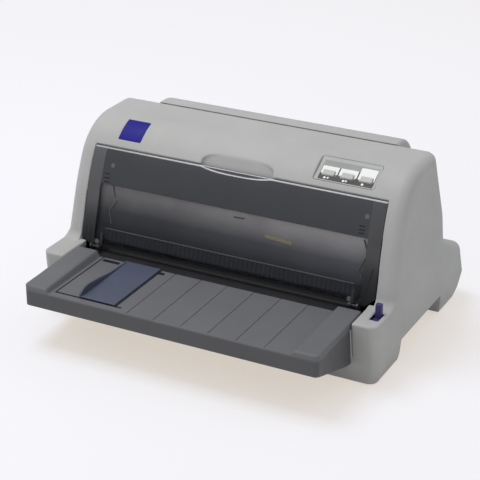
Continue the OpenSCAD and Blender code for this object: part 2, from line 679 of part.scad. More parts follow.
// The idler has a gap where each neighbour has a tooth
module idler_gear() color("ivory") difference() {
    gear_x_at(idler_at, idler_teeth, 180 / idler_teeth);
    rod_x(gear_x - gear_w - over, gear_x + over, idler_at, axle_r + fit);
}
idler_phase = (pinion_a - 180 / idler_teeth) / (360 / idler_teeth);
pinion_first = pinion_a + 180 + (idler_phase - floor(idler_phase) - 0.5) * 360 / pinion_teeth;
module motor_pinion() color([0.8, 0.7, 0.4]) difference() {
    gear_x_at(pinion_at, pinion_teeth, pinion_first);
    rod_x(gear_x - gear_w - over, gear_x + over, pinion_at, 2 + fit);
}
module gap_lever() color([0.2, 0.35, 0.3]) difference() {
    union() {
        rod_x(-frame_x + 1, -frame_x + 6, [70, 118], 6);
        along_x(-frame_x + 2, -frame_x + 5) polygon([[66, 120], [67, 148], [73, 148], [74, 120]]);
    }
    rod_x(-frame_x, -frame_x + 8, [70, 118], axle_r + fit);
}

// ================= Tractors

module tractor_shaft() color(steel) {
    rod_x(-frame_x + 4, frame_x - 4, tractor_at, tractor_r);
    rod_x(-frame_x - frame_t - 1, frame_x + frame_t + 1, tractor_at, axle_r);
}
module tractor_rail() color(steel) rod_x(-frame_x, frame_x, tractor_rail_at, tractor_r);
lid_hinge = [-15, 93];
module tractor() difference() {
    union() {
        block(-11, 11, 95, 136, 67, 90);
        block(-17.5, -10, 108, 121, 80, 89);
        block(-17.5, -12.5, 108, 121, 88, lid_hinge[1]);
        translate([lid_hinge[0], 108, lid_hinge[1]]) rotate([-90, 0, 0]) cylinder(h = 13, r = 2.5);
        translate([lid_hinge[0], 98, lid_hinge[1]]) rotate([-90, 0, 0]) cylinder(h = 34, r = 1.2);
    }
    block(-4.2, 4.2, 94, 121.2, 60, 96);
    rod_x(-20, 20, tractor_at, tractor_r + 0.1);
    rod_x(-20, 20, tractor_rail_at, tractor_r + 0.1);
}
module tractor_wheel() difference() {
    union() {
        rod_x(-3.2, 3.2, tractor_at, 11);
        for (k = [0:7]) translate([0, tractor_at[0], tractor_at[1]]) rotate([k * 45, 0, 0])
            translate([0, 0, 9]) cylinder(h = 3.6, r = 1.3);
    }
    rod_x(-5, 5, tractor_at, tractor_r + fit);
}
module tractor_lid() difference() {
    union() {
        block(-12, 11, 97, 133, 94, 96);
        for (y = [98, 123.5]) {
            translate([lid_hinge[0], y, lid_hinge[1]]) rotate([-90, 0, 0]) cylinder(h = 8.5, r = 2.6);
            block(lid_hinge[0], -11, y, y + 8.5, 94, 95.6);
        }
    }
    block(-4.5, 4.5, 99, 118, 90, 98);
    translate([lid_hinge[0], 90, lid_hinge[1]]) rotate([-90, 0, 0]) cylinder(h = 50, r = 1.2 + fit);
}
module left_one() translate([-tractor_x, 0, 0]) children();
module right_one() translate([tractor_x, 0, 0]) mirror([1, 0, 0]) children();
module tractor_left() color(black_plastic) left_one() tractor();
module tractor_right() color(black_plastic) right_one() tractor();
module tractor_wheel_left() color("ivory") left_one() tractor_wheel();
module tractor_wheel_right() color("ivory") right_one() tractor_wheel();
module tractor_lid_left() color([0.3, 0.3, 0.32]) left_one() tractor_lid();
module tractor_lid_right() color([0.3, 0.3, 0.32]) right_one() tractor_lid();

// ================= Electrics

module main_board() color(board_green) {
    block(20, 160, 66, 150, 12, 13.6);
    block(30, 52, 80, 102, 13.5, 17);
    block(62, 74, 80, 108, 13.5, 18);
    for (k = [0:3]) block(86 + k * 14, 94 + k * 14, 78, 106, 13.5, 17);
    for (k = [0:3]) translate([40 + k * 16, 124, 13.5]) cylinder(h = 14, r = 5);
    block(120, 140, 122, 142, 13.5, 24);
}
module power_supply() color([0.5, 0.45, 0.3]) {
    block(-160, -20, 66, 150, 8, 9.6);
    block(-150, -104, 78, 118, 9.5, 44);
    block(-92, -88, 74, 140, 9.5, 48);
    for (k = [0:1]) translate([-66, 86 + k * 34, 9.5]) cylinder(h = 34, r = 12);
    block(-48, -30, 76, 130, 9.5, 30);
}
switch_at = [152, 47];
module rear_panel() color(steel) {
    difference() {
        union() {
            block(-185, 185, 156, 157.5, foot_h + wall, 64);
            block(-143, -123, 144, 156.5, 34, 60);
        }
        block(-140.5, -125.5, 145.5, 160, 36.2, 57.8);
        block(-180, -152, 150, 160, 37, 57);
        block(100, 158, 150, 160, 40, 54);
        block(168, 180, 150, 160, 40, 51);
    }
    rod_x(-142, -124, switch_at, 1.5);
}
module power_inlet() color(black_plastic) difference() {
    union() {
        block(-179.9, -152.1, 140, 158, 37.1, 56.9);
        block(-183, -149, 157.5, 160, 35, 59);
    }
    block(-178, -154, 144, 162, 39, 55);
}
module power_switch() color(black_plastic) difference() {
    along_x(-139.8, -126.2)
        polygon([[148, 42], [150, 38], [160, 38.5], [158, 47], [160, 55.5], [150, 56], [148, 52]]);
    rod_x(-141, -125, switch_at, 1.5 + fit);
}
module data_ports() color([0.25, 0.25, 0.27]) {
    block(100.1, 157.9, 146, 163, 40.1, 53.9);
    block(168.1, 179.9, 142, 160, 40.1, 50.9);
}

lower_case();
upper_case();
rubber_feet();
case_screws();
badge_plate();
control_panel();
panel_board();
panel_lamps();
button_left();
button_middle();
button_right();
front_tray();
edge_guide();
front_cover();
front_cover_pins();
rear_cover();
rear_cover_pins();
release_lever();
lever_bracket();
chassis_pan();
side_frame_left();
side_frame_right();
front_rail();
rear_beam();
carriage_shaft();
carriage();
print_head();
head_cable();
carriage_motor();
drive_pulley();
idler_pulley();
idler_bracket();
timing_belt();
ribbon_cartridge();
ribbon_band();
ribbon_knob();
platen();
paper_bed();
front_feed_roller();
front_pressure_roller();
rear_feed_roller();
rear_pressure_roller();
feed_motor();
motor_pinion();
idler_gear();
gap_lever();
tractor_shaft();
tractor_rail();
tractor_left();
tractor_right();
tractor_wheel_left();
tractor_wheel_right();
tractor_lid_left();
tractor_lid_right();
main_board();
power_supply();
rear_panel();
power_inlet();
power_switch();
data_ports();
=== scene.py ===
"""Desktop dot matrix printer: the looks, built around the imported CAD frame.

The case, its covers and the tray are modelled here as rounded plastic mouldings with the same
dimensions as the CAD part; the mechanism inside keeps its CAD shapes and takes materials.
Lengths in the modelling code are millimetres, in the frame's axes; meshes are made in metres.
"""
import math

import bmesh
import bpy
import numpy as np
from mathutils import Matrix, Vector


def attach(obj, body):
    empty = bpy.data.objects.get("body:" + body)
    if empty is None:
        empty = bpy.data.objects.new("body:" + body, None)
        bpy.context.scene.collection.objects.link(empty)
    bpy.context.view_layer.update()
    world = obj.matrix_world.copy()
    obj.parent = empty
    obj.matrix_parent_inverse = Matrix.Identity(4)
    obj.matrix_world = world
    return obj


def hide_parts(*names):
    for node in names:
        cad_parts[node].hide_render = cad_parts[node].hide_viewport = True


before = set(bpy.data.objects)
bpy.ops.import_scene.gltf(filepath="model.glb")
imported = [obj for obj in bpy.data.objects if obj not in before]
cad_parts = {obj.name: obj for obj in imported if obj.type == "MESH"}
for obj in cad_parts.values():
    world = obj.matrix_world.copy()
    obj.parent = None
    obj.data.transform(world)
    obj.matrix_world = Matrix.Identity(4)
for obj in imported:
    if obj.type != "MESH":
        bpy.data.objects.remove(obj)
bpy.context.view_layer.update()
MM = 0.001


def polar(angle):
    """Unit vector at an angle in degrees"""
    return np.array([math.cos(math.radians(angle)), math.sin(math.radians(angle))])


# ---- Case, as in the CAD part
BODY_W, BODY_H, DECK_H = 422.0, 211.0, 76.3
HALF_W = BODY_W / 2
WALL = 2.6
PARTING_Z, SIDE_DRAFT, HOOD_EDGE_R, CORNER_R = 32.0, 0.046, 13, 10
CREST_R, CREST_C = 63.0, np.array([40.0, BODY_H - 63.0])
BROW_R, LEAN_TOP, LEAN_LOW = 300.0, 24.0, 14.5
BROW_C = CREST_C + (BROW_R - CREST_R) * np.array([1, -1]) * polar(LEAN_TOP)
NAPE_R, NAPE_C = 7.0, np.array([78.0, BODY_H - 7.0])
CHEEK_IN, CHEEK_FRONT, CHEEK_BACK, CHEEK_LEAN = 180.0, -95.5, 70, 0.141
REAR_Y, FOOT_H, SEAM = 175.0, 1.2, 1.2
# Foot of the tub: how far its sides and its back lie in, at three heights
TUB_Z, TUB_SIDE, TUB_BACK = [1.2, 12, 32], [6, 3, 0], [12, 5, 0]
# Hand-holds: outline in [y, z], and the x to which they reach in
HAND_HOLD, HOLD_IN = [(-17, -1), (-23, 29.2), (96, 29.2), (108.5, -1)], 182
# Rear ports: their ranges of x and z, and the y from which they are open to the rear
PORTS_X, PORTS_Z, PORTS_FROM = [(-188, -112), (84, 188)], (34, 61), 150
# Thicker wall above the cover, the one behind the scoop with half its width, and their range of y
BACKING, BACKING_SCOOP, BACKING_SCOOP_HALF, BACKING_Y = 6.5, 9, 56, (-40, 24)
# Finger scoop: its middle on the crest, half its width and height, its depth at the rim and below
SCOOP_ANGLE, SCOOP_HALF, SCOOP_UP, SCOOP_RIM, SCOOP_DEEP = 142.5, 45.0, 14.5, 1.0, 5.4
SCOOP_POWER = 2.6
# Fineness of the case's distance field, and the share of its faces that is kept
CASE_STEP, CASE_KEEP = ((1.25, 0.22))
# Rounding of an opening's edges
CUT_R = 0.8

# ---- Front cover: below BEND_Z it narrows to its foot, above BAND_Z it is opaque, and STRIP_FROM is
# the share of its half width where the side strips begin
COVER_HALF_TOP, COVER_HALF_LOW, COVER_HALF_FOOT = 182.5, 186.0, 175
COVER_LOW, BEND_Z, BAND_Z = 72.5, 82, 144.0
COVER_TOP_Z = CREST_C[1] + CREST_R * math.sin(math.radians(33.7))
COVER_GAP, COVER_T, STRIP_FROM = 0.6, 2.4, 0.905
# How far its top edge dips below the scoop, and half the width of the dip
DIP, DIP_HALF = 3.4, 44
# Opening for it: gap beside it, reach to the rear, and top edge in front and at the lip behind
OPEN_GAP, OPEN_BACK, OPEN_TOP, OPEN_LIP = 1.0, 24, 1.3, -2.6
# The lining behind it and its side flanges, as depths inside the hood's face
LINING_T, LINING_Z, FLANGE_T, FLANGE_IN = (5.6, 6.8), (77.5, 181), (3.0, 9.4), (0.3, 2.4)
HINGE, KNUCKLE_R, KNUCKLE_X = np.array([-52.0, 73.5]), 3, (158, 161.8)

# ---- Rear cover
REAR_HALF, REAR_FRONT, REAR_AXIS = 155.5, 84.2, (91.0, BODY_H - 6)
LUG_X, LUG_T, LUG_R = 124, 3.2, 3.6
HUMP_R, HUMP_C, HUMP_LEAN, HUMP_LOW = 36.0, np.array([96.0, BODY_H - 36]), 10.0, 97.0
# Arm of the case that holds its pin, in [y, z] from the axis, and its range of x from LUG_X
REAR_ARM = [(-19, 4), (-19, -15), (4, -15), (4, 0), (1.5, 3), (-1.5, 3), (-3, 0), (-3, -10),
            (-13, -10), (-13, 4)]
REAR_ARM_X = (3.6, 7)
# Paper slot below it: its range of y, its lower edge, and the gap at its ends
PAPER_Y, PAPER_Z, PAPER_GAP = (96, 170), 73, 1.5

# ---- Paper tray and edge guide
TRAY_HALF, TRAY_FRONT, TRAY_BACK, TRAY_FLOOR = 179.3, -175.0, -66.0, 69.5
RAIL_FOOT, RAIL_SLOPE = 148.0, 0.63
GROOVE_X, GROOVE_PITCH, GROOVE_GAP = -48.0, 33.1, 0.45
GUIDE_X, GUIDE_BED, GUIDE_SLOT_END = (-113, -67.5), (-143.5, -66.5), -59.0
# Slots around the bed: their ends in y, half their width, and the length in y of the cross slots
GUIDE_SLOT_Y, SLOT_HALF, SLOT_NEAR, SLOT_FAR = (TRAY_FRONT + 8, -75.6), 0.9, 3, 6.0
FENCE = [(9.4, 1), (9.4, 4.5), (13, 7.5), (19, 9.6), (27, 9.9), (44, 8.2), (70, 4.4)]
FENCE_T = 2.4

# ---- Lever, control panel and plate on the crest
LEVER_X, LEVER_AT, LEVER_HALF = 198.4, (-66, 48), 3.7
LEVER_SLOT_X, LEVER_SLOT_Y = (193.3, 203.5), (-77.6, -58.8)
LEVER_LINE = [(-4, 3), (0, 24), (0.5, 38), (2, 41), (6, 41), (6.2, 26), (4, 2)]
HUB_R, APRON_R = 6, (24.6, 23)
PANEL_AT, PANEL_TILT, PANEL_W, PANEL_L = (127.6, 8.35, BODY_H - 11.1), 31.3, 72, 33
BUTTON_X, BUTTON_Y, BUTTON_W, BUTTON_L = (-20.7, 1.6, 23.9), -6, 14, 7
BADGE_X, BADGE_ANGLES, BADGE_SEAT = (-157.5, -127.5), (107.2, 134.8), 0.9


# ================= Distance fields: closed rounded shapes, measured in millimetres

def arc(centre, radius, start, end, steps):
    """Points of an arc between two angles in degrees"""
    return [np.asarray(centre) + radius * polar(start + (end - start) * i / steps) for i in range(steps + 1)]


def outline_distance(points, u, v):
    """Signed distance from the polygon drawn by points, negative inside"""
    p = np.asarray(points, dtype=np.float32)
    nearest = np.full(np.broadcast(u, v).shape, np.inf, np.float32)
    inside = np.zeros(nearest.shape, bool)
    for a, b in zip(p, np.roll(p, -1, axis=0)):
        e = b - a
        if e @ e < 1e-6:
            continue
        t = np.clip(((u - a[0]) * e[0] + (v - a[1]) * e[1]) / (e @ e), 0, 1)
        nearest = np.minimum(nearest, (u - a[0] - t * e[0]) ** 2 + (v - a[1] - t * e[1]) ** 2)
        if a[1] != b[1]:
            crossing = (a[1] > v) != (b[1] > v)
            inside ^= crossing & (u < (b[0] - a[0]) * (v - a[1]) / (b[1] - a[1]) + a[0])
    return np.where(inside, -1, 1) * np.sqrt(nearest)


def both(a, b, r=0.0):
    """Intersection of two shapes, its edge rounded by r"""
    if r == 0:
        return np.maximum(a, b)
    return np.minimum(np.maximum(a + r, b + r), 0) + np.hypot(np.maximum(a + r, 0), np.maximum(b + r, 0)) - r


def joined(a, b, r=0.0):
    """Union of two shapes, with a fillet of radius r where they meet"""
    return -both(-a, -b, r)


def without(a, b, r=0.0):
    """Shape a with b cut out of it, the new edge rounded by r"""
    return both(a, -b, r)


def span(u, low, high):
    """Distance from the slab between low and high"""
    return np.maximum(low - u, u - high)


class Grid:
    """Sample points in a box, with room around it for the surface to close"""

    def __init__(self, low, high, step):
        self.step = step
        self.low = np.array(low, float) - 2.37 * step
        counts = np.ceil((np.array(high) - np.array(low)) / step + 5).astype(int)
        line = [(self.low[k] + step * np.arange(counts[k])).astype(np.float32) for k in range(3)]
        self.x, self.y, self.z = line[0][:, None, None], line[1][None, :, None], line[2][None, None, :]
        # Distance from the middle plane, for what is alike left and right
        self.ax = np.abs(self.x)

    def side_view(self, points):
        """Distance from an outline in [y, z]"""
        return outline_distance(points, self.y, self.z)


CORNERS = np.array([[i, j, k] for i in (0, 1) for j in (0, 1) for k in (0, 1)])
CELL_EDGES = [(a, b) for a in range(8) for b in range(a + 1, 8) if np.abs(CORNERS[a] - CORNERS[b]).sum() == 1]


def surface_of(field, grid):
    """Vertices and quads of the surface where the field is zero, one vertex in each cell that it crosses"""
    inside = field < 0
    n = [s - 1 for s in field.shape]
    filled = sum(inside[i:i + n[0], j:j + n[1], k:k + n[2]].astype(np.uint8) for i, j, k in CORNERS)
    cells = (filled > 0) & (filled < 8)
    at = np.argwhere(cells)
    number = np.full(cells.shape, -1, np.int32)
    number[cells] = np.arange(len(at))
    values = np.stack([field[tuple((at + c).T)] for c in CORNERS], axis=1)
    total, count = np.zeros((len(at), 3)), np.zeros(len(at))
    for a, b in CELL_EDGES:
        cut = (values[:, a] < 0) != (values[:, b] < 0)
        t = values[cut, a] / (values[cut, a] - values[cut, b])
        total[cut] += CORNERS[a] + t[:, None] * (CORNERS[b] - CORNERS[a])
        count[cut] += 1
    points = grid.low + grid.step * (at + total / count[:, None])
    quads = []
    for axis in range(3):
        u, v = (axis + 1) % 3, (axis + 2) % 3
        ahead = np.take(inside, range(1, field.shape[axis]), axis)
        here = np.take(inside, range(0, field.shape[axis] - 1), axis)
        around = ((-1, -1), (0, -1), (0, 0), (-1, 0))
        for crossing, ring in ((here & ~ahead, around), (~here & ahead, around[::-1])):
            edge = np.argwhere(crossing)
            edge = edge[(edge[:, u] > 0) & (edge[:, v] > 0) & (edge[:, u] < n[u]) & (edge[:, v] < n[v])]
            corner = []
            for du, dv in ring:
                cell = edge.copy()
                cell[:, u] += du
                cell[:, v] += dv
                corner.append(number[tuple(cell.T)])
            quads.append(np.stack(corner, axis=1))
    return points * MM, np.concatenate(quads)


# ================= Meshes

def placed(name, data):
    """New object in the scene"""
    item = bpy.data.objects.new(name, data)
    bpy.context.scene.collection.objects.link(item)
    return item


def evaluated(item):
    """Mesh of an object with its modifiers or its curve settings applied"""
    return bpy.data.meshes.new_from_object(item.evaluated_get(bpy.context.evaluated_depsgraph_get()))


def new_piece(name, points, faces):
    """Smooth mesh object from positions in metres and faces"""
    mesh = bpy.data.meshes.new(name)
    mesh.from_pydata(np.asarray(points, float).tolist(), [], [list(map(int, face)) for face in faces])
    mesh.shade_smooth()
    return placed(name, mesh)


def outward(piece, weld_mm=0.0):
    """Turns all faces of a closed mesh outward, after joining points closer than weld_mm"""
    work = bmesh.new()
    work.from_mesh(piece.data)
    if weld_mm:
        bmesh.ops.remove_doubles(work, verts=work.verts, dist=weld_mm * MM)
    bmesh.ops.recalc_face_normals(work, faces=work.faces)
    work.to_mesh(piece.data)
    work.free()


def closed_piece(name, points, faces):
    """Mesh object from positions in millimetres and faces, which are turned outward"""
    piece = new_piece(name, np.asarray(points) * MM, faces)
    outward(piece)
    return piece


def paint(piece, names, numbers):
    """Gives a piece several materials, and each face the number of its own"""
    for name in names:
        piece.data.materials.append(MATERIALS[name])
    piece.data.polygons.foreach_set("material_index", numbers)


def bevel(piece, width):
    """Rounds the sharp edges, by a width in millimetres"""
    rounding = piece.modifiers.new("rounding", "BEVEL")
    rounding.width, rounding.segments, rounding.limit_method = width * MM, 2, "ANGLE"
    rounding.angle_limit = math.radians(30)
    piece.modifiers.new("even", "WEIGHTED_NORMAL").weight = 80


def moulding(name, field, grid, keep):
    """Moulded piece from a distance field; keep is the share of its faces that stays"""
    piece = new_piece(name, *surface_of(field, grid))
    piece.modifiers.new("thin", "DECIMATE").ratio = keep
    made = evaluated(piece)
    piece.modifiers.clear()
    piece.data = made
    piece.modifiers.new("even", "WEIGHTED_NORMAL").weight = 60
    return piece


def net(index):
    """Faces between neighbours in a grid of points, given by their numbers"""
    corners = [index[:-1, :-1], index[:-1, 1:], index[1:, 1:], index[1:, :-1]]
    return np.stack(corners, axis=-1).reshape(-1, 4).tolist()


def tube(name, rims):
    """Closed body whose section joins the rims, each a row of points in millimetres"""
    rims = np.stack(rims)
    count, n = rims.shape[:2]
    index = np.arange(count * n).reshape(count, n)
    faces = [(index[a, i], index[a - 1, i], index[a - 1, i + 1], index[a, i + 1])
             for a in range(count) for i in range(n - 1)]
    return closed_piece(name, rims.reshape(-1, 3), faces + [index[:, 0], index[:, -1]])


def prism(name, outline, x0, x1, edge):
    """Outline in [y, z], from x0 to x1, with rounded edges"""
    piece = tube(name, [np.array([[x0, y, z], [x1, y, z]], float) for y, z in outline])
    bevel(piece, edge)
    return piece


def rectangle(x0, x1, y0, y1):
    """Outline in [x, y]"""
    return [(x0, y0), (x1, y0), (x1, y1), (x0, y1)]


def rounded(x, y, w, h, r):
    """Outline of a rectangle around x, y with rounded corners"""
    points = []
    for sx, sy, start in ((1, 1, 0), (-1, 1, 90), (-1, -1, 180), (1, -1, 270)):
        corner = (x + sx * (w / 2 - r), y + sy * (h / 2 - r))
        points += arc(corner, r, start, start + 90, 4)
    return points


def plate(name, outlines, low, high, edge):
    """Flat plate between two heights; an outline inside another one is a hole"""
    curve = bpy.data.curves.new(name, "CURVE")
    curve.dimensions, curve.fill_mode = "2D", "BOTH"
    curve.extrude = ((high - low) / 2 - edge) * MM
    curve.bevel_depth, curve.bevel_resolution, curve.offset = edge * MM, 1, -edge * MM
    for outline in outlines:
        spline = curve.splines.new("POLY")
        spline.points.add(len(outline) - 1)
        for point, (x, y) in zip(spline.points, outline):
            point.co = (x * MM, y * MM, 0, 1)
        spline.use_cyclic_u = True
    holder = placed(name + "_outline", curve)
    bpy.context.view_layer.update()
    mesh = evaluated(holder)
    bpy.data.objects.remove(holder)
    mesh.transform(Matrix.Translation((0, 0, (low + high) / 2 * MM)))
    piece = placed(name, mesh)
    outward(piece, 0.01)
    mesh.shade_flat()
    return piece


def finish(piece, body, material, node):
    """Gives a piece its material, and the body and CAD node that it stands for"""
    if material:
        piece.data.materials.clear()
        piece.data.materials.append(MATERIALS[material])
    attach(piece, body)
    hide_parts(node)


# ================= Materials

def display(r, g, b):
    """Linear colour of an 8-bit display colour"""
    return tuple(((c / 255 + 0.055) / 1.055) ** 2.4 for c in (r, g, b))


# Height over which painted shade fades in; ribs inside the cover, and the reach of its painted side light
SHADE_FADE_MM, RIB_SCALE, RIB_COLOUR, PAINTED_SIDE_LIGHT_X = 3, 55.0, (53, 57, 63), 170


class Nodes:
    """Shader nodes of a material or of the world"""

    def __init__(self, owner):
        owner.use_nodes = True
        self.tree = owner.node_tree

    def add(self, kind, inputs=None, **settings):
        """New shader node; inputs maps sockets to values or to other nodes' outputs"""
        node = self.tree.nodes.new("ShaderNode" + kind)
        for key, value in settings.items():
            setattr(node, key, value)
        self.feed(node, inputs or {})
        return node

    def feed(self, node, inputs):
        """Sets a node's inputs"""
        for socket, value in inputs.items():
            if isinstance(value, bpy.types.NodeSocket):
                self.tree.links.new(value, node.inputs[socket])
            else:
                node.inputs[socket].default_value = value

    def spread(self, value, low, high, source=(0.3, 0.7)):
        """Maps a value from the source range to another one"""
        inputs = {0: value, 1: source[0], 2: source[1], 3: low, 4: high}
        return self.add("MapRange", inputs).outputs[0]


class Shader(Nodes):
    """A material and the nodes that feed it"""

    def __init__(self, name):
        self.material = bpy.data.materials.new(name)
        super().__init__(self.material)
        self.surface = self.tree.nodes["Principled BSDF"]
        self.place = self.add("TexCoord").outputs["Object"]

    def noise(self, size_mm, detail=2, stretch=(1, 1, 1)):
        """Noise with features of about size_mm, from 0 to 1"""
        place = self.add("VectorMath", {0: self.place, 1: stretch}, operation="MULTIPLY").outputs[0]
        inputs = {"Vector": place, "Scale": 1 / (size_mm * MM), "Detail": detail}
        return self.add("TexNoise", inputs).outputs[0]

    def times(self, colour, factor):
        """Colour scaled by a value"""
        return self.add("VectorMath", {0: colour, "Scale": factor}, operation="SCALE").outputs[0]

    def blend(self, factor, a, b):
        """Colour between a and b"""
        node = self.add("Mix", data_type="RGBA")
        wide = [c if isinstance(c, bpy.types.NodeSocket) else (*c, 1) for c in (a, b)]
        self.feed(node, {0: factor, 6: wide[0], 7: wide[1]})
        return node.outputs[2]

    def edges(self, radius_mm):
        """1 on sharp edges and 0 on flat faces"""
        soft = self.add("Bevel", {"Radius": radius_mm * MM}, samples=4).outputs[0]
        true = self.add("NewGeometry").outputs["Normal"]
        match = self.add("VectorMath", {0: soft, 1: true}, operation="DOT_PRODUCT").outputs["Value"]
        return self.spread(match, 1, 0, (0.8, 0.99))

    def bump(self, height, depth_mm):
        """Normal of a surface whose relief is height times depth_mm"""
        inputs = {"Height": height, "Distance": depth_mm * MM, "Strength": 1}
        return self.add("Bump", inputs).outputs[0]

    def place_axes(self):
        """X, Y and Z of the place on the object, in metres"""
        return self.add("SeparateXYZ", {0: self.place}).outputs


def plastic(name, colour, roughness, specular, grain_mm=0.9, grain_deep=0.03, mottle=0.04, wear=0.1,
            below=None):
    """Moulded plastic with a fine spark-eroded texture, uneven gloss and edges rubbed a little lighter.

    below is a height with the share of the colour that is left under it: painted shade on the faces under
    that height.
    """
    s = Shader(name)
    grain = s.noise(grain_mm)
    tone = s.spread(s.noise(60, 3), 1 - mottle, 1 + mottle)
    body = s.times(s.times(colour, tone), s.spread(grain, 1 - mottle / 2, 1 + mottle / 2))
    rubbed = tuple(min(c * 1.25 + 0.02, 1) for c in colour)
    worn = s.add("Math", {0: s.edges(0.7), 1: wear}, operation="MULTIPLY").outputs[0]
    shown = s.blend(worn, body, rubbed)
    # Painted shade: under the given height only a share of the colour is left
    if below:
        height, share = below
        shade_fade = ((height - SHADE_FADE_MM) * MM, height * MM)
        shown = s.times(shown, s.spread(s.place_axes()["Z"], share, 1, shade_fade))
    s.feed(s.surface, {"Base Color": shown, "Specular IOR Level": specular,
                       "Roughness": s.spread(s.noise(25, 3), roughness - 0.05, roughness + 0.05),
                       "Normal": s.bump(grain, grain_deep)})
    return s.material


def metal(name, colour, roughness, streak=(1, 1, 1), metallic=1.0):
    """Metal with fine streaks along one direction"""
    s = Shader(name)
    lines = s.noise(0.8, 3, streak)
    tone = s.spread(s.noise(18, 3), 0.92, 1.08)
    body = s.times(s.times(colour, tone), s.spread(lines, 0.94, 1.06))
    s.feed(s.surface, {"Base Color": body, "Metallic": metallic, "Normal": s.bump(lines, 0.008),
                       "Roughness": s.spread(lines, roughness - 0.07, roughness + 0.07)})
    return s.material


def circuit_board(name):
    """Green solder mask over copper tracks"""
    s = Shader(name)
    cells = s.add("TexVoronoi", {"Vector": s.place, "Scale": 160.0}, distance="CHEBYCHEV")
    track = s.spread(cells.outputs["Distance"], 0, 1, (0.25, 0.3))
    body = s.blend(track, (0.02, 0.13, 0.06), (0.03, 0.2, 0.09))
    s.feed(s.surface, {"Base Color": body, "Roughness": s.spread(s.noise(8), 0.25, 0.4),
                       "Normal": s.bump(track, 0.03)})
    return s.material


def painted_light_plastic(name, stops, side, ribbed_below):
    """Plastic inside the cover with painted light and shade: stops are heights with display colours of
    painted light and shade, side its painted tone left and right.

    Below the height ribbed_below, unless it is None, it is dark with fine upright ribs.
    """
    s = Shader(name)
    place = s.place_axes()
    low, high = stops[0][0], stops[-1][0]
    # Painted light and shade: the colour changes with height, as the light on it would
    ramp = s.add("ValToRGB", {0: s.spread(place["Z"], 0, 1, (low * MM, high * MM))})
    elements = ramp.color_ramp.elements
    elements[0].color = (*display(*stops[0][1]), 1)
    elements[1].color = (*display(*stops[-1][1]), 1)
    for height, colour in stops[1:-1]:
        elements.new((height - low) / (high - low)).color = (*display(*colour), 1)
    # Painted light: one side lighter than the other
    tone = s.spread(place["X"], *side, (-PAINTED_SIDE_LIGHT_X * MM, PAINTED_SIDE_LIGHT_X * MM))
    colour = s.times(s.times(ramp.outputs["Color"], tone), s.spread(s.noise(30, 3), 0.93, 1.07))
    if ribbed_below:
        ribs = s.add("TexWave", {"Vector": s.place, "Scale": RIB_SCALE}, bands_direction="X")
        dark = s.times(display(*RIB_COLOUR), s.spread(ribs.outputs["Fac"], 0.75, 1.15, (0, 1)))
        above = s.spread(place["Z"], 0, 1, ((ribbed_below - 0.5) * MM, (ribbed_below + 0.5) * MM))
        colour = s.blend(above, dark, colour)
    s.feed(s.surface, {"Base Color": colour, "Roughness": s.spread(s.noise(20), 0.5, 0.65),
                       "Specular IOR Level": 0.25})
    return s.material


def smoke_window(name):
    """Clear smoke-tinted plastic: part of it lets what lies behind show"""
    s = Shader(name)
    haze = s.noise(45, 3)
    s.feed(s.surface, {"Base Color": s.times(display(38, 40, 46), s.spread(haze, 0.9, 1.1)),
                       "Roughness": s.spread(haze, 0.16, 0.24), "Specular IOR Level": 0.35,
                       "Alpha": s.spread(haze, 0.14, 0.18)})
    return s.material


# Plastics: colour, roughness, specular level, and what else differs from the usual
FILM = {"grain_deep": 0.005}
PLASTICS = {
    "case_plastic": ((0.462, 0.467, 0.456), 0.55, 0.3, {}),
    # The tray is darker below its floor: painted shade on its skirt and sides
    "tray_plastic": ((0.148, 0.15, 0.16), 0.5, 0.35, {"below": (TRAY_FLOOR, 0.61)}),
    "guide_plastic": ((0.08, 0.095, 0.142), 0.42, 0.4, {"mottle": 0.06}),
    "lever_plastic": ((0.042, 0.035, 0.15), 0.4, 0.35, {}),
    "badge_film": ((0.016, 0.013, 0.25), 0.4, 0.12, {"grain_deep": 0.005, "mottle": 0.05, "wear": 0.3}),
    "button_plastic": ((0.5, 0.51, 0.49), 0.45, 0.35, {}),
    "lamp_plastic": ((0.75, 0.77, 0.72), 0.25, 0.5, {"grain_deep": 0.004}),
    "black_plastic": ((0.022, 0.022, 0.025), 0.45, 0.4, {}),
    "ivory_plastic": ((0.6, 0.56, 0.44), 0.4, 0.4, {"mottle": 0.06}),
    "rubber": ((0.02, 0.02, 0.021), 0.8, 0.2, {"grain_mm": 0.5, "grain_deep": 0.05}),
    "supply_parts": ((0.2, 0.17, 0.09), 0.5, 0.35, {"mottle": 0.2}),
    "flat_cable": ((0.62, 0.62, 0.58), 0.35, 0.4, {"mottle": 0.05}),
    "inked_fabric": ((0.01, 0.01, 0.014), 0.9, 0.1, {"grain_mm": 0.4, "grain_deep": 0.06}),
    "cover_band": ((0.05, 0.054, 0.061), 0.38, 0.3, {"grain_deep": 0.006, "mottle": 0.06, "wear": 0.0}),
    # Light colour on the cover's top bevel: a painted highlight
    "cover_bevel_painted_highlight": ((0.4, 0.392, 0.424), 0.25, 0.5, {"grain_deep": 0.004}),
    "cover_flange": ((0.10, 0.10, 0.108), 0.3, 0.4, {}),
    "mark_light": ((0.16, 0.16, 0.165), 0.5, 0.3, {}),
    "mark_boss": ((0.13, 0.13, 0.138), 0.5, 0.3, {}),
    # Dark marks on the cover; the same colour is also painted shade in the tray's slots
    "dark_mark_and_painted_shade": ((0.012, 0.012, 0.014), 0.5, 0.3, {}),
    "mark_yellow": ((0.42, 0.38, 0.24), 0.5, 0.3, {}),
    "label_grey": ((0.28, 0.29, 0.29), 0.4, 0.35, FILM),
    "label_dark": ((0.014, 0.014, 0.015), 0.4, 0.35, FILM),
    "label_white": ((0.86, 0.87, 0.85), 0.4, 0.35, FILM),
}

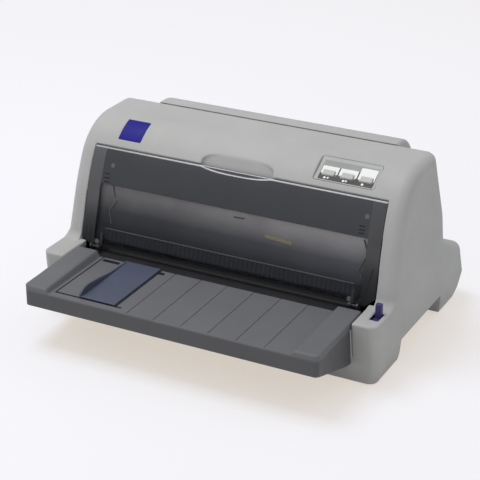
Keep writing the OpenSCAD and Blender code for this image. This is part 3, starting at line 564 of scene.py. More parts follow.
# Metals: colour, roughness, and what else differs; streaks run along the axis whose factor is small
ALONG_X, UPRIGHT = {"streak": (0.05, 1, 1)}, {"streak": (1, 1, 0.08)}
METALS = {
    "zinc_steel": ((0.5, 0.51, 0.53), 0.38, UPRIGHT),
    "ground_steel": ((0.62, 0.62, 0.64), 0.16, ALONG_X),
    "cast_aluminium": ((0.4, 0.41, 0.43), 0.5, {}),
    "motor_steel": ((0.05, 0.05, 0.055), 0.45, {"metallic": 0.3}),
    "brass": ((0.65, 0.5, 0.22), 0.25, ALONG_X),
}

# Plastics inside the cover: heights with display colours of painted light and shade, painted tone left and
# right, height of the ribs' top
PAINTED_LIGHT_PLASTICS = {
    # The lining: painted light, lighter at the top and on the right, darker towards the bottom
    "cover_lining_painted_light": (
        [(94, (58, 61, 67)), (113, (95, 97, 103)), (131, (170, 168, 171)), (146, (228, 222, 222))],
        (0.68, 1.32), 92),
    # The side strips: painted shade, darker towards the bottom and on the right
    "cover_strip_painted_shade": (
        [(84, (38, 40, 43)), (104, (55, 56, 59)), (125, (88, 87, 90)), (180, (88, 89, 93))],
        (1.15, 0.8), None),
}


def make_materials():
    """All materials by the name of their finish"""
    made = {name: plastic(name, *look, **more) for name, (*look, more) in PLASTICS.items()}
    made.update({name: metal(name, *look, **more) for name, (*look, more) in METALS.items()})
    made.update({name: painted_light_plastic(name, *look) for name, look in PAINTED_LIGHT_PLASTICS.items()})
    made.update(board=circuit_board("board"), cover_window=smoke_window("cover_window"))
    return made


MATERIALS = make_materials()


# ================= Case

def side_x(z):
    """Half the case's width at height z; the sides lean in above the parting line"""
    return HALF_W - (z - PARTING_Z) * SIDE_DRAFT


def cheek_y(z):
    """Front of the cheeks at height z"""
    return CHEEK_FRONT + (DECK_H - z) * CHEEK_LEAN


def front_y(t, z):
    """Front of the hood at height z, t inside its outer face"""
    crest_z = CREST_C[1] + (CREST_R - t) * math.sin(math.radians(LEAN_TOP))
    end = BROW_C + (BROW_R - t) * polar(180 - LEAN_LOW)
    crest = CREST_C[0] - np.sqrt(np.maximum((CREST_R - t) ** 2 - (z - CREST_C[1]) ** 2, 0))
    brow = BROW_C[0] - np.sqrt(np.maximum((BROW_R - t) ** 2 - (z - BROW_C[1]) ** 2, 0))
    straight = end[0] - (end[1] - z) * math.tan(math.radians(LEAN_LOW))
    return np.where(z >= crest_z, crest, np.where(z >= end[1], brow, straight))


def front_line(low):
    """Front of the hood in [y, z], from the crest down to the height low"""
    crest = arc(CREST_C, CREST_R, 90, 180 - LEAN_TOP, 24)
    brow = arc(BROW_C, BROW_R, 180 - LEAN_TOP, 180 - LEAN_LOW, 12)
    return crest + brow + [np.array([front_y(0, low), low])]


HOOD = [(113, 20), (111.5, 95), (108, 132)] + arc(NAPE_C, NAPE_R, 18, 90, 8) + front_line(20)
SLAB = [(60, 10), (180.6, 10)] + arc((154, 61), 12, 16, 64, 10) + [(111, 95), (60, 96)]
JAMB = front_line(66)[4:] + [(-14, 66), (14, 160), (18, 186)]


def from_axis(g, axis):
    """Distance from an axis that runs along x"""
    return np.hypot(g.y - axis[0], g.z - axis[1])


def scoop_cut(g):
    """Finger scoop above the middle of the cover: a ramp that is deepest at the window's edge"""
    tilt = polar(SCOOP_ANGLE)
    middle = CREST_C + CREST_R * tilt
    along = (g.y - middle[0]) * tilt[1] - (g.z - middle[1]) * tilt[0]
    out = (g.y - middle[0]) * tilt[0] + (g.z - middle[1]) * tilt[1]
    sideways, upward = np.abs(g.x / SCOOP_HALF), np.abs(along / SCOOP_UP)
    reach = (sideways ** SCOOP_POWER + upward ** SCOOP_POWER) ** (1 / SCOOP_POWER)
    floor = -SCOOP_RIM - (SCOOP_DEEP - SCOOP_RIM) * np.clip(1 - along / SCOOP_UP, 0, 1.1)
    return both((reach - 1) * SCOOP_UP, floor - out, 1)


def case_shell(g):
    """Hood, cheeks and rear slab as one hollow body, and the same as a solid"""
    side = g.ax - side_x(g.z)
    hood = both(g.side_view(HOOD), side, HOOD_EDGE_R)
    slab = both(g.side_view(SLAB), side, CORNER_R)
    plan = both(both(cheek_y(g.z) - g.y, side, CORNER_R), both(CHEEK_IN - g.ax, g.y - CHEEK_BACK), 2)
    cheek = both(plan, g.z - DECK_H, 3.2)
    outer = both(joined(joined(hood, cheek, 9), slab, 7), side)
    inner = both(joined(joined(hood, cheek), slab), side) + WALL
    # The wall is thicker behind the finger scoop and along the top of the window
    thick = np.where(g.ax < BACKING_SCOOP_HALF, BACKING_SCOOP, BACKING)
    backing = both(both(outer, -outer - thick), both(span(g.y, *BACKING_Y), g.ax - COVER_HALF_LOW))
    return joined(without(outer, inner), backing), outer


def cut_cover_opening(shell, outer, g):
    """Opens the case for the front cover, down between the cheeks, and adds a wall on either side"""
    half = np.interp(g.z, [BEND_Z, COVER_TOP_Z], [COVER_HALF_LOW + OPEN_GAP, COVER_HALF_TOP + OPEN_GAP])
    # A lip behind the top of the cover closes the gap above it
    behind = CREST_R - from_axis(g, CREST_C) > COVER_GAP + COVER_T + 0.5
    top = COVER_TOP_Z + np.where(behind, OPEN_LIP, OPEN_TOP)
    window = both(both(g.ax - half, g.y - OPEN_BACK), both(g.z - top, DECK_H - g.z))
    shell = without(shell, window, CUT_R)
    low = g.z - DECK_H - 1
    shell = without(shell, both(both(g.ax - CHEEK_IN, g.y - 40), low))
    shell = without(shell, both(both(g.ax - COVER_HALF_LOW - OPEN_GAP, span(g.y, -46, OPEN_BACK)), low))
    shell = without(shell, scoop_cut(g), CUT_R)
    jamb = span(g.ax, COVER_HALF_LOW + OPEN_GAP, COVER_HALF_LOW + OPEN_GAP + WALL)
    jamb = both(jamb, g.side_view(JAMB) + 1)
    return joined(shell, both(jamb, outer + 0.8))


def cut_rear_opening(shell, g):
    """Opens the case under the rear cover and for the paper below it, and adds end walls and hinge arms"""
    ends = g.ax - REAR_HALF - 1
    rear = both(ends, both(span(g.y, REAR_FRONT, 130), HUMP_LOW - 3 - g.z))
    slot = both(g.ax - REAR_HALF - PAPER_GAP, both(span(g.y, *PAPER_Y), PAPER_Z - g.z))
    shell = without(without(shell, rear, CUT_R), slot, 1)
    swing = math.dist((REAR_FRONT, BODY_H), REAR_AXIS) + 0.5
    shell = without(shell, both(ends, from_axis(g, REAR_AXIS) - swing), 0.5)
    wall = span(g.ax, REAR_HALF + PAPER_GAP, REAR_HALF + PAPER_GAP + WALL)
    wall = both(wall, both(g.side_view(SLAB), 97 - g.y))
    shell = joined(shell, both(wall, 64 - g.z))
    arm = g.side_view([(REAR_AXIS[0] + y, REAR_AXIS[1] + z) for y, z in REAR_ARM])
    return joined(shell, both(span(g.ax, *(LUG_X + x for x in REAR_ARM_X)), arm))


def cut_panel_and_badge(shell, g):
    """Cuts the seats of the control panel and of the plate on the crest"""
    c, s = map(float, polar(PANEL_TILT))
    y, z = g.y - PANEL_AT[1], g.z - PANEL_AT[2]
    up, out = y * c + z * s, z * c - y * s
    seat = both(np.abs(g.x - PANEL_AT[0]) - PANEL_W / 2 - 0.05, np.abs(up) - PANEL_L / 2 - 0.05, 2)
    shell = without(shell, both(seat, -out - 6), 0.6)
    turn = np.degrees(np.arctan2(g.z - CREST_C[1], g.y - CREST_C[0]))
    around = span(turn, *BADGE_ANGLES) * CREST_R * math.pi / 180
    depth = CREST_R - BADGE_SEAT - from_axis(g, CREST_C)
    return without(shell, both(both(span(g.x, *BADGE_X), around, 1.5), depth), 0.3)


def upper_case():
    """Hood, rear slab and cheeks in one shell, open below"""
    g = Grid((-HALF_W, -97, PARTING_Z), (HALF_W, REAR_Y, BODY_H), CASE_STEP)
    shell, outer = case_shell(g)
    shell = cut_cover_opening(shell, outer, g)
    shell = cut_rear_opening(shell, g)
    for low, high in PORTS_X:
        port = both(both(span(g.x, low, high), PORTS_FROM - g.y, 2), span(g.z, *PORTS_Z), 2)
        shell = without(shell, port, 1)
    lever = both(both(span(g.x, *LEVER_SLOT_X), span(g.y, *LEVER_SLOT_Y), 1.5), 60 - g.z)
    shell = without(shell, lever, CUT_R)
    shell = cut_panel_and_badge(shell, g)
    shell = both(shell, PARTING_Z - SEAM / 2 - g.z)
    case = moulding("upper_case_moulding", shell, g, CASE_KEEP)
    finish(case, "case", "case_plastic", "upper_case")


def lower_case():
    """Tub with hand-holds in its sides and a sloped foot"""
    g = Grid((-HALF_W, -93, FOOT_H), (HALF_W, REAR_Y, 68), CASE_STEP)

    def tub(t):
        """The tub as a solid, t inside its outer face"""
        side = g.ax - HALF_W + np.interp(g.z, TUB_Z, TUB_SIDE) + t
        back = g.y - REAR_Y + np.interp(g.z, TUB_Z, TUB_BACK) + t
        front = cheek_y(g.z) - g.y + t
        return both(both(both(side, front, CORNER_R - t), back, CORNER_R - t), FOOT_H + t - g.z, 0.8)

    hold = g.side_view(HAND_HOLD)
    # The rim reaches up behind the edge of the upper case, so no gap shows between the halves
    rim = np.where(g.z > PARTING_Z - SEAM, 0.08, 0)
    outer = without(tub(0) + rim, both(HOLD_IN - g.ax, hold), 1)
    inner = without(tub(WALL), both(HOLD_IN - WALL - g.ax, hold - WALL))
    shell = both(without(outer, inner), g.z - PARTING_Z - SEAM)
    wall = both(both(g.ax - CHEEK_IN, span(g.y - cheek_y(g.z), 0, WALL)), span(g.z, 29, 67.5))
    shell = joined(shell, wall)
    case = moulding("lower_case_moulding", shell, g, CASE_KEEP)
    finish(case, "case", "case_plastic", "lower_case")


def rear_cover():
    """Hump behind the crest that lifts for continuous paper"""
    g = Grid((-REAR_HALF, REAR_FRONT, HUMP_LOW), (REAR_HALF, 148, BODY_H), 1.2)
    end = HUMP_C + HUMP_R * polar(HUMP_LEAN)
    low_y = end[0] + (end[1] - HUMP_LOW) * math.tan(math.radians(HUMP_LEAN))
    top = [(REAR_FRONT, BODY_H)] + arc(HUMP_C, HUMP_R, 90, HUMP_LEAN, 20)
    line = top + [(low_y, HUMP_LOW), (105, HUMP_LOW), (101, 132), (86, 180), (REAR_FRONT, BODY_H - 12)]
    outer = both(g.side_view(line), g.ax - REAR_HALF, 6)
    skin = np.abs(g.side_view(top + [(low_y, 60), (0, 60), (0, BODY_H)]) + WALL / 2) - WALL / 2
    skin = joined(skin, span(g.ax, REAR_HALF - WALL, REAR_HALF + 1), 2)
    lug = both(span(g.ax, LUG_X, LUG_X + LUG_T), from_axis(g, REAR_AXIS) - LUG_R)
    shell = joined(both(outer, skin, 0.4), both(lug, g.z - BODY_H + 1))
    cover = moulding("rear_cover_moulding", shell, g, 0.3)
    finish(cover, "rear_cover", "case_plastic", "rear_cover")


# ================= Paper tray, edge guide and lever

def front_tray():
    """Shelf in front of the case, with a skirt and raised side rails"""
    g = Grid((-TRAY_HALF, TRAY_FRONT, 24), (TRAY_HALF, TRAY_BACK, 77), 1.1)
    plan = both(g.ax - TRAY_HALF, TRAY_FRONT - g.y, 5)
    rail_top = np.interp(g.y, [TRAY_FRONT, TRAY_FRONT + 2, TRAY_BACK], [73.0, 74.6, 77.0])
    slope = (RAIL_FOOT + (g.z - TRAY_FLOOR) * RAIL_SLOPE - g.ax) * 0.85
    rail = both(g.z - rail_top, slope, 1.2)
    lip = both(g.z - TRAY_FLOOR, g.y - TRAY_FRONT - 1.5)
    top = joined(joined(g.z - TRAY_FLOOR + 0.6, rail, 0.6), lip)
    keep = [(TRAY_FRONT - 4, 49.5), (TRAY_FRONT + 2.4, 49.5), (-101, 26.3), (cheek_y(24) - 0.6, 24),
            (cheek_y(66) - 0.6, TRAY_FLOOR - 2), (TRAY_BACK, TRAY_FLOOR - 2), (TRAY_BACK, 84),
            (TRAY_FRONT - 4, 84)]
    body = both(both(plan, top, 1.2), g.side_view(keep), 0.6)
    hollow = both(both(g.ax - TRAY_HALF + 2.4, TRAY_FRONT + 2.4 - g.y, 3), g.z - TRAY_FLOOR + 2)
    tray = moulding("front_tray_moulding", without(body, hollow), g, 0.3)
    finish(tray, "case", "tray_plastic", "front_tray")


def tray_floor():
    """Floor of the tray with its grooves, and the slots around the bed on which the edge guide slides"""
    grooves = [GROOVE_X + GROOVE_PITCH * k for k in range(6)]
    edges = [-RAIL_FOOT - 0.6] + grooves + [RAIL_FOOT + 0.6]
    front, back = TRAY_FRONT + 1.3, TRAY_BACK
    outlines = [rectangle(a + GROOVE_GAP, b - GROOVE_GAP, front, back) for a, b in zip(edges[1:], edges[2:])]
    x0, x1 = edges[0] + GROOVE_GAP, edges[1] - GROOVE_GAP
    near, far = GUIDE_SLOT_Y
    near_in, far_in = near + SLOT_NEAR, far + SLOT_FAR
    left, right = GUIDE_BED
    outer_left, inner_left = left - SLOT_HALF, left + SLOT_HALF
    inner_right, outer_right = right - SLOT_HALF, right + SLOT_HALF
    end = GUIDE_SLOT_END
    # A frame with the slots in it, and the bed between them
    outlines.append([(x0, front), (x1, front), (x1, back), (outer_right, back), (outer_right, far_in),
                     (end, far_in), (end, far), (outer_right, far), (outer_right, near_in), (end, near_in),
                     (end, near), (outer_left, near), (outer_left, back), (x0, back)])
    outlines.append(rectangle(inner_left, inner_right, near_in, back))
    floor = plate("tray_floor", outlines, TRAY_FLOOR - 0.9, TRAY_FLOOR, 0.2)
    finish(floor, "case", "tray_plastic", "front_tray")

    # Painted shade: dark plates as the ground of the slots, each a hair higher than the one before, and a
    # dark patch of painted shade at the back of the bed
    shade_grounds = [rectangle(outer_left, inner_left, near, back), rectangle(left, end, near, near_in),
               rectangle(inner_right, outer_right, near_in, back), rectangle(right, end, far, far_in)]
    heights = [(TRAY_FLOOR - 0.72, TRAY_FLOOR - 0.52 + 0.004 * k) for k in range(len(shade_grounds))]
    shade_grounds.append(rectangle(left + 3, left + 25, far, far_in))
    heights.append((TRAY_FLOOR - 0.2, TRAY_FLOOR + 0.05))
    for k, (outline, (low, high)) in enumerate(zip(shade_grounds, heights)):
        slot = plate("tray_slot_%d" % (k + 1), [outline], low, high, 0.02)
        finish(slot, "case", "dark_mark_and_painted_shade", "front_tray")


def edge_guide():
    """Blue slide with a low fence, against which the left edge of the paper lies"""
    x0, x1 = GUIDE_X
    z0, z1 = TRAY_FLOOR + 0.3, TRAY_FLOOR + 2.1
    blade = plate("edge_guide_plate", [rectangle(x0, x1, TRAY_FRONT + FENCE[0][0], TRAY_BACK)], z0, z1, 0.5)
    fence_line = [(TRAY_FRONT + y, TRAY_FLOOR + z) for y, z in FENCE]
    fence_line += [(TRAY_BACK, TRAY_FLOOR + 2.6), (TRAY_BACK, TRAY_FLOOR + 1)]
    fence = prism("edge_guide_fence", fence_line, x0, x0 + FENCE_T, 0.6)
    for piece in (blade, fence):
        finish(piece, "edge_guide", "guide_plastic", "edge_guide")


def release_lever():
    """Paper release lever that stands out of the right deck"""
    at = LEVER_AT
    sides = LEVER_X - LEVER_HALF, LEVER_X + LEVER_HALF
    blade = prism("release_lever_blade", [(at[0] + y, at[1] + z) for y, z in LEVER_LINE], *sides, 1.1)
    hub = prism("release_lever_hub", arc(at, HUB_R, 0, 345, 23), *sides, 0.4)
    # Curved apron that closes the slot around the blade
    outside, inside = APRON_R
    apron = arc(at, outside, 58, 122, 12) + arc(at, inside, 122, 58, 12)
    apron = prism("release_lever_apron", apron, LEVER_SLOT_X[0] + 0.3, LEVER_SLOT_X[1] - 0.3, 0.3)
    for piece in (blade, hub, apron):
        finish(piece, "release_lever", "lever_plastic", "release_lever")


# ================= Front cover

def bar(x0, z0, x1, z1, width):
    """Outline in [x, z] of a straight bar"""
    start, end = np.array([x0, z0]), np.array([x1, z1])
    along = end - start
    across = np.array([-along[1], along[0]]) / np.hypot(*along) * width / 2
    return [start - across, end - across, end + across, start + across]


def disc(x, z, r):
    """Outline in [x, z] of a round boss"""
    return arc((x, z), r, 0, 337.5, 15)


# Relief on the cover: name, material, depths inside the hood's face, and outlines in [x, z]
ON_SHEET, ON_LINING = (0.5, 1.2), (4.7, 5.9)
DASHES = [(-164.6, (155.5, 150.9, 146.6)), (156.4, (155.5, 151.7, 148.1))]
DASH_LONG, POST_X, POST_Z = 7, (-181, -175.3, 163.4, 171.6), (75.4, 92.4)
COVER_MARKS = [
    ("cover_ribs_light", "mark_light", ON_LINING, [
        bar(-153.4, 141.5, -149.7, 129.6, 1.6), bar(-146.4, 125.6, -155.1, 113.7, 1.4),
        bar(-155.1, 113.7, -151.4, 98.5, 1.6), bar(162.8, 140.4, 168.3, 129.0, 1.6),
        bar(166.5, 120.5, 160.6, 107.1, 1.4), bar(163.6, 106.2, 165.6, 99.6, 1.6),
        bar(-158, 92.2, 158, 92.2, 1.0), bar(5.0, 135.3, 18.4, 135.8, 1.4)]),
    ("cover_mark_yellow", "mark_yellow", ON_LINING, [bar(46.0, 121.9, 79.2, 119.9, 3.2)]),
    ("cover_bosses", "mark_boss", ON_SHEET, [
        disc(-155.4, 165.3, 2.6), disc(163.3, 165.8, 2.6), disc(-165.3, 77.3, 2.8), disc(156.2, 77.3, 2.8)]),
    ("cover_bars_dark", "dark_mark_and_painted_shade", ON_SHEET,
        [bar(x, z, x + DASH_LONG, z, 1.5) for x, rows in DASHES for z in rows]
        + [bar(x, POST_Z[0], x, POST_Z[1], 1.8) for x in POST_X]),
    ("cover_shade_right", "dark_mark_and_painted_shade", ON_SHEET, [
        bar(180.7, 178, 179.2, 113, 1.5), bar(179.2, 113, 174, 84, 1.5)]),
]

# Materials of the sheet, in the order of their numbers
SHEET_LOOKS = ("cover_window", "cover_band", "cover_bevel_painted_highlight", "cover_strip_painted_shade", "dark_mark_and_painted_shade")
WINDOW, BAND, PAINTED_HIGHLIGHT, STRIP, FOOT = range(len(SHEET_LOOKS))


def cover_half(z):
    """Half the front cover's width at height z"""
    return np.interp(z, [COVER_LOW, BEND_Z, BODY_H], [COVER_HALF_FOOT, COVER_HALF_LOW, COVER_HALF_TOP])


def scoop_dip(x):
    """How far the cover's top edge dips below the finger scoop"""
    return DIP * np.clip(1 - np.abs(x / DIP_HALF) ** 3, 0, 1)


def cover_point(x, z, t):
    """Points t inside the hood's face, as rows of x, y, z"""
    x, z = np.broadcast_arrays(np.asarray(x, float), np.asarray(z, float))
    return np.stack([x, front_y(t, z), z], axis=-1)


def cover_sheet():
    """One curved sheet, opaque above BAND_Z, with a painted highlight on the bevel along its top, and strips
    at its sides whose colour is painted shade
    """
    u = np.linspace(-1, 1, 93)
    heights = np.concatenate([np.linspace(COVER_LOW, BEND_Z, 5), np.linspace(BEND_Z, BAND_Z, 22)[1:],
                              np.linspace(BAND_Z, COVER_TOP_Z - 1.1, 24)[1:]])
    inner = np.append(heights, COVER_TOP_Z)[::-1]
    rows = []

    def row(z, t, share=1):
        """One row of points across the cover; share is how much of the dip under the scoop it takes"""
        x = u * cover_half(z)
        dip = share * scoop_dip(x) * np.clip((z - BAND_Z - 4) / (COVER_TOP_Z - BAND_Z - 4), 0, 1) ** 2
        rows.append(np.stack([x, front_y(t, z - dip), z - dip], axis=1))

    # Up the face, over the top edge with its bevel and groove, and down the back
    for z in heights:
        row(z, COVER_GAP)
    row(COVER_TOP_Z, COVER_GAP + 0.9)
    row(COVER_TOP_Z - 0.5, COVER_GAP + 1.2, 0.12)
    row(COVER_TOP_Z, COVER_GAP + 1.6, 0)
    for z in inner:
        row(z, COVER_GAP + COVER_T, 0)
    face, back = (np.where(z > BAND_Z - 0.01, BAND, WINDOW).tolist() for z in (heights[:-1], inner[1:]))
    looks = face + [PAINTED_HIGHLIGHT, BAND, PAINTED_HIGHLIGHT, BAND] + back + [FOOT]
    looks[0] = looks[-2] = FOOT
    n, count, half = len(u), len(rows), len(heights)
    strips = np.abs(u[1:] + u[:-1]) / 2 > STRIP_FROM
    index = np.arange(n * count).reshape(count, n)
    quads = net(np.append(index, index[:1], axis=0))
    slots = [STRIP if strip and look in (WINDOW, BAND) else look for look in looks for strip in strips]
    for column in (0, n - 1):
        rim = index[:, column]
        quads += [(rim[r], rim[r + 1], rim[count - 2 - r], rim[count - 1 - r]) for r in range(half)]
        quads.append((rim[half], rim[half + 1], rim[half + 2], rim[half + 3]))
        slots += looks[:half - 1] + [BAND, BAND]
    sheet = closed_piece("front_cover_sheet", np.concatenate(rows), quads)
    paint(sheet, SHEET_LOOKS, slots)
    bevel(sheet, 0.3)
    return sheet


def cover_flange(name, side):
    """Flange along one side of the cover, from its foot to its top"""
    z = np.linspace(77, COVER_TOP_Z - 3, 30)
    ring = rectangle(*FLANGE_IN, *FLANGE_T)
    rims = [cover_point(side * (cover_half(z) - inset), z, t) for inset, t in ring]
    return tube("cover_flange_" + name, rims)


def cover_knuckle(name, side):
    """Hinge knuckle at one side of the cover's foot"""
    outline = arc(HINGE, KNUCKLE_R, 90, 270, 14) + [(-43, 71.5), (-42, 88), (-43.5, 88), (-47.5, 74)]
    return prism("cover_knuckle_" + name, outline, *sorted(side * x for x in KNUCKLE_X), 0.3)


def lining_sheet():
    """Thin sheet behind the cover's window"""
    x, z = np.linspace(-1, 1, 41), np.linspace(*LINING_Z, 40)
    layers = [np.stack([cover_point(x * (cover_half(h) - 3), h, t) for h in z]) for t in LINING_T]
    index = np.arange(2 * len(z) * len(x)).reshape(2, len(z), len(x))
    quads = []
    for a in (*index, index[:, 0, :], index[:, -1, :], index[:, :, 0], index[:, :, -1]):
        quads += net(a)
    piece = closed_piece("cover_lining_painted_light", np.concatenate([layer.reshape(-1, 3) for layer in layers]), quads)
    # The front is coloured with painted light and shade: lighter at the top and on the right, darker towards
    # the bottom
    # The side that faces into the machine is dark
    front = (len(z) - 1) * (len(x) - 1)
    paint(piece, ("cover_lining_painted_light", "black_plastic"), [0] * front + [1] * (len(quads) - front))
    return piece


def cover_relief(name, depths, outlines):
    """Low plates on the cover from outlines in [x, z], between two depths inside the hood's face"""
    points, faces = [], []
    for outline in outlines:
        start, n = len(points), len(outline)
        points += [cover_point(x, z, t).reshape(3) for t in depths for x, z in outline]
        front, back = list(range(start, start + n)), list(range(start + n, start + 2 * n))
        faces += [front, back[::-1]]
        faces += [(front[k], front[(k + 1) % n], back[(k + 1) % n], back[k]) for k in range(n)]
    piece = closed_piece(name, points, faces)
    bevel(piece, 0.2)
    return piece


def front_cover():
    """Smoke cover: its sheet and flanges, the lining and its relief behind the window, and the knuckles"""
    sides = (("left", -1), ("right", 1))

    def fit(piece, material):
        finish(piece, "front_cover", material, "front_cover")

    fit(cover_sheet(), None)
    for name, side in sides:
        fit(cover_flange(name, side), "cover_flange")
    fit(lining_sheet(), None)
    for name, material, depths, outlines in COVER_MARKS:
        fit(cover_relief(name, depths, outlines), material)
    for name, side in sides:
        fit(cover_knuckle(name, side), "black_plastic")


# ================= Control panel and plate

LAMP_Y, LAMP_LEFT, LAMP_R = -12.4, 3, 1.6
# Label of the control panel: outlines in the panel's plane, and the height of each layer
LABEL = [
    ("label_top", "label_grey", rectangle(-31.2, 33.2, 3.5, 11.3), -0.30),
    ("label_low", "label_dark", rectangle(-31.2, 33.2, -15.0, 3.5), -0.30),
    ("label_left", "label_white", rectangle(-30.6, -11.0, -6.3, 3.6), -0.22),
    ("label_middle", "label_white", rectangle(-9.4, 11.6, -6.3, 3.6), -0.22),
    ("label_right", "label_white", rectangle(13.2, 32.6, -6.3, 9.3), -0.22),
]
DOTS_X, DOTS_Y, DOTS_R = (-19.9, 1.9), -12.1, 1.25


def on_panel(piece):
    """Moves a piece made in the panel's own plane to its place on the hood"""
    turn = Matrix.Rotation(math.radians(PANEL_TILT), 4, "X")
    piece.data.transform(Matrix.Translation(Vector(PANEL_AT) * MM) @ turn)
    return piece


def control_panel():
    """Panel with three buttons, a plain label and its lamps; all lettering is left out"""
    holes = [rounded(x, BUTTON_Y, BUTTON_W + 0.8, BUTTON_L + 0.8, 1) for x in BUTTON_X]
    holes += [arc((x - LAMP_LEFT, LAMP_Y), LAMP_R, 0, 330, 11) for x in BUTTON_X]
    rim = rounded(0, 0, PANEL_W - 0.4, PANEL_L - 0.4, 2)
    face = plate("control_panel_face", [rim] + holes, -3.0, -0.4, 0.4)
    finish(on_panel(face), "case", "case_plastic", "control_panel")
    for name, material, outline, high in LABEL:
        label = plate(name, [outline] + holes, -0.42, high, 0.02)
        finish(on_panel(label), "case", material, "control_panel")
    for name, x in zip(("left", "middle", "right"), BUTTON_X):
        cap = plate("button_%s_cap" % name, [rounded(x, BUTTON_Y, BUTTON_W, BUTTON_L, 1.1)], -4, 1.6, 0.7)
        rim = rounded(x, BUTTON_Y, BUTTON_W + 3, BUTTON_L + 2, 0.5)
        flange = plate("button_%s_flange" % name, [rim], -4.6, -3.6, 0.2)
        for piece in (cap, flange):
            finish(on_panel(piece), "button_" + name, "button_plastic", "button_" + name)
    for k, x in enumerate(DOTS_X):
        dot = plate("label_dot_%d" % (k + 1), [arc((x, DOTS_Y), DOTS_R, 0, 345, 23)], -0.32, -0.2, 0.02)
        finish(on_panel(dot), "case", "label_white", "control_panel")


def badge_plate():
    """Blank blue plate, bent to the crest"""
    a = np.linspace(*BADGE_ANGLES, 15)
    rims = []
    for x, r in rectangle(BADGE_X[0] + 0.3, BADGE_X[1] - 0.3, -0.8, 0.15):
        rims.append(np.array([[x, *(CREST_C + (CREST_R + r) * polar(angle))] for angle in a]))
    badge = tube("badge_plate_film", rims)
    bevel(badge, 0.3)
    finish(badge, "case", "badge_film", "badge_plate")


# ================= Mechanism: CAD shapes with materials

NODE_FINISH = {
    "rubber": "rubber_feet platen front_feed_roller rear_feed_roller timing_belt",
    "zinc_steel": "case_screws lever_bracket chassis_pan front_rail rear_beam idler_bracket rear_panel",
    "ground_steel": "rear_cover_pins carriage_shaft tractor_shaft tractor_rail",
    "black_plastic": "front_cover_pins carriage ribbon_cartridge paper_bed front_pressure_roller "
                     "rear_pressure_roller gap_lever tractor_left tractor_right tractor_lid_left "
                     "tractor_lid_right power_inlet power_switch data_ports",
    "ivory_plastic": "ribbon_knob idler_gear tractor_wheel_left tractor_wheel_right drive_pulley "
                     "idler_pulley",
    "cast_aluminium": "print_head",
    "motor_steel": "carriage_motor feed_motor side_frame_left side_frame_right",
    "brass": "motor_pinion",
    "board": "panel_board main_board",
    "supply_parts": "power_supply",
    "flat_cable": "head_cable",
    "inked_fabric": "ribbon_band",
    "lamp_plastic": "panel_lamps",
}


def dress_nodes():
    """Materials for the nodes that keep their CAD shapes"""
    for material, names in NODE_FINISH.items():
        for name in names.split():
            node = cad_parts[name]
            node.data.materials.clear()
            node.data.materials.append(MATERIALS[material])


# ================= Floor, light and camera; lengths in metres

FLOOR_REACH, FLOOR_COLOUR = 4.0, (0.77, 0.76, 0.75)
# What the camera and reflections see of the floor: a share of the light on it, and a glow of its own
FLOOR_SHADED, FLOOR_GLOW = (0.345, 0.41, 0.54), (0.608, 0.543, 0.46)
# Strength of the world as it lights the object, and as the camera sees it
WORLD_COLOUR, WORLD_STRENGTH, WORLD_SEEN = (0.98, 0.985, 1.0), 0.57, 0.93
# Lamps: name, place, power in watts; both are squares that face the object's middle
LAMPS = [("overhead", (-0.75, -0.1, 2.35), 24), ("key", (-0.9, -1.9, 1.5), 3.5)]
LAMP_SIZE, MIDDLE = 1.2, (0, 0, 0.1)
CAMERA_AT, CAMERA_DOWN, CAMERA_TURN, CAMERA_LENS = (0.73448, -1.41319, 0.83141), 65.188, 27.482, 115.0


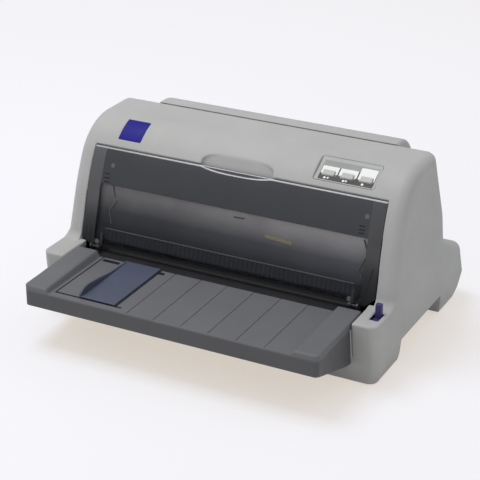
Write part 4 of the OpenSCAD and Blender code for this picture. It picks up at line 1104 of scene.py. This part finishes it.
def paper_floor():
    """Pale floor that takes the object's shadow"""
    corners = [(x, y, 0) for x, y in rectangle(-FLOOR_REACH, FLOOR_REACH, -FLOOR_REACH, FLOOR_REACH)]
    floor = new_piece("floor", corners, [(0, 1, 2, 3)])
    s = Shader("floor_paper")
    s.feed(s.surface, {"Base Color": (*FLOOR_COLOUR, 1), "Roughness": 0.9, "Specular IOR Level": 0.1})
    # As the camera and reflections see it: white, with the object's shadow pale and warm
    shaded = s.add("BsdfDiffuse", {"Color": (*FLOOR_SHADED, 1)}).outputs[0]
    glow = s.add("Emission", {"Color": (*FLOOR_GLOW, 1), "Strength": 1.0}).outputs[0]
    lit = s.add("AddShader", {0: shaded, 1: glow}).outputs[0]
    rays = s.add("LightPath").outputs
    seen = rays["Is Camera Ray"]
    for kind in ("Is Glossy Ray", "Is Transmission Ray"):
        seen = s.add("Math", {0: seen, 1: rays[kind]}, operation="MAXIMUM").outputs[0]
    mix = s.add("MixShader", {0: seen, 1: s.surface.outputs[0], 2: lit}).outputs[0]
    s.tree.links.new(mix, s.tree.nodes["Material Output"].inputs["Surface"])
    floor.data.materials.append(s.material)


def white_world():
    """World that the camera sees nearly white, and that lights the object at its own strength"""
    world = bpy.data.worlds.new("studio")
    s = Nodes(world)
    seen = s.add("LightPath").outputs["Is Camera Ray"]
    strength = s.spread(seen, WORLD_STRENGTH, WORLD_SEEN, (0, 1))
    s.feed(s.tree.nodes["Background"], {"Color": (*WORLD_COLOUR, 1), "Strength": strength})
    bpy.context.scene.world = world


def lamp(name, place, power):
    """Square soft lamp that faces the object"""
    data = bpy.data.lights.new(name, "AREA")
    data.energy, data.size = power, LAMP_SIZE
    holder = placed(name, data)
    holder.location = place
    holder.rotation_euler = (Vector(MIDDLE) - Vector(place)).to_track_quat("-Z", "Y").to_euler()


def camera():
    """Camera at the photograph's place and angle"""
    data = bpy.data.cameras.new("camera")
    data.lens, data.sensor_width = CAMERA_LENS, 36.0
    holder = placed("camera", data)
    holder.location = CAMERA_AT
    holder.rotation_euler = (math.radians(CAMERA_DOWN), 0, math.radians(CAMERA_TURN))
    bpy.context.scene.camera = holder


upper_case()
lower_case()
rear_cover()
front_tray()
tray_floor()
edge_guide()
release_lever()
front_cover()
control_panel()
badge_plate()
dress_nodes()
paper_floor()
white_world()
for name, place, power in LAMPS:
    lamp(name, place, power)
camera()

bpy.context.scene.view_settings.view_transform = "Standard"
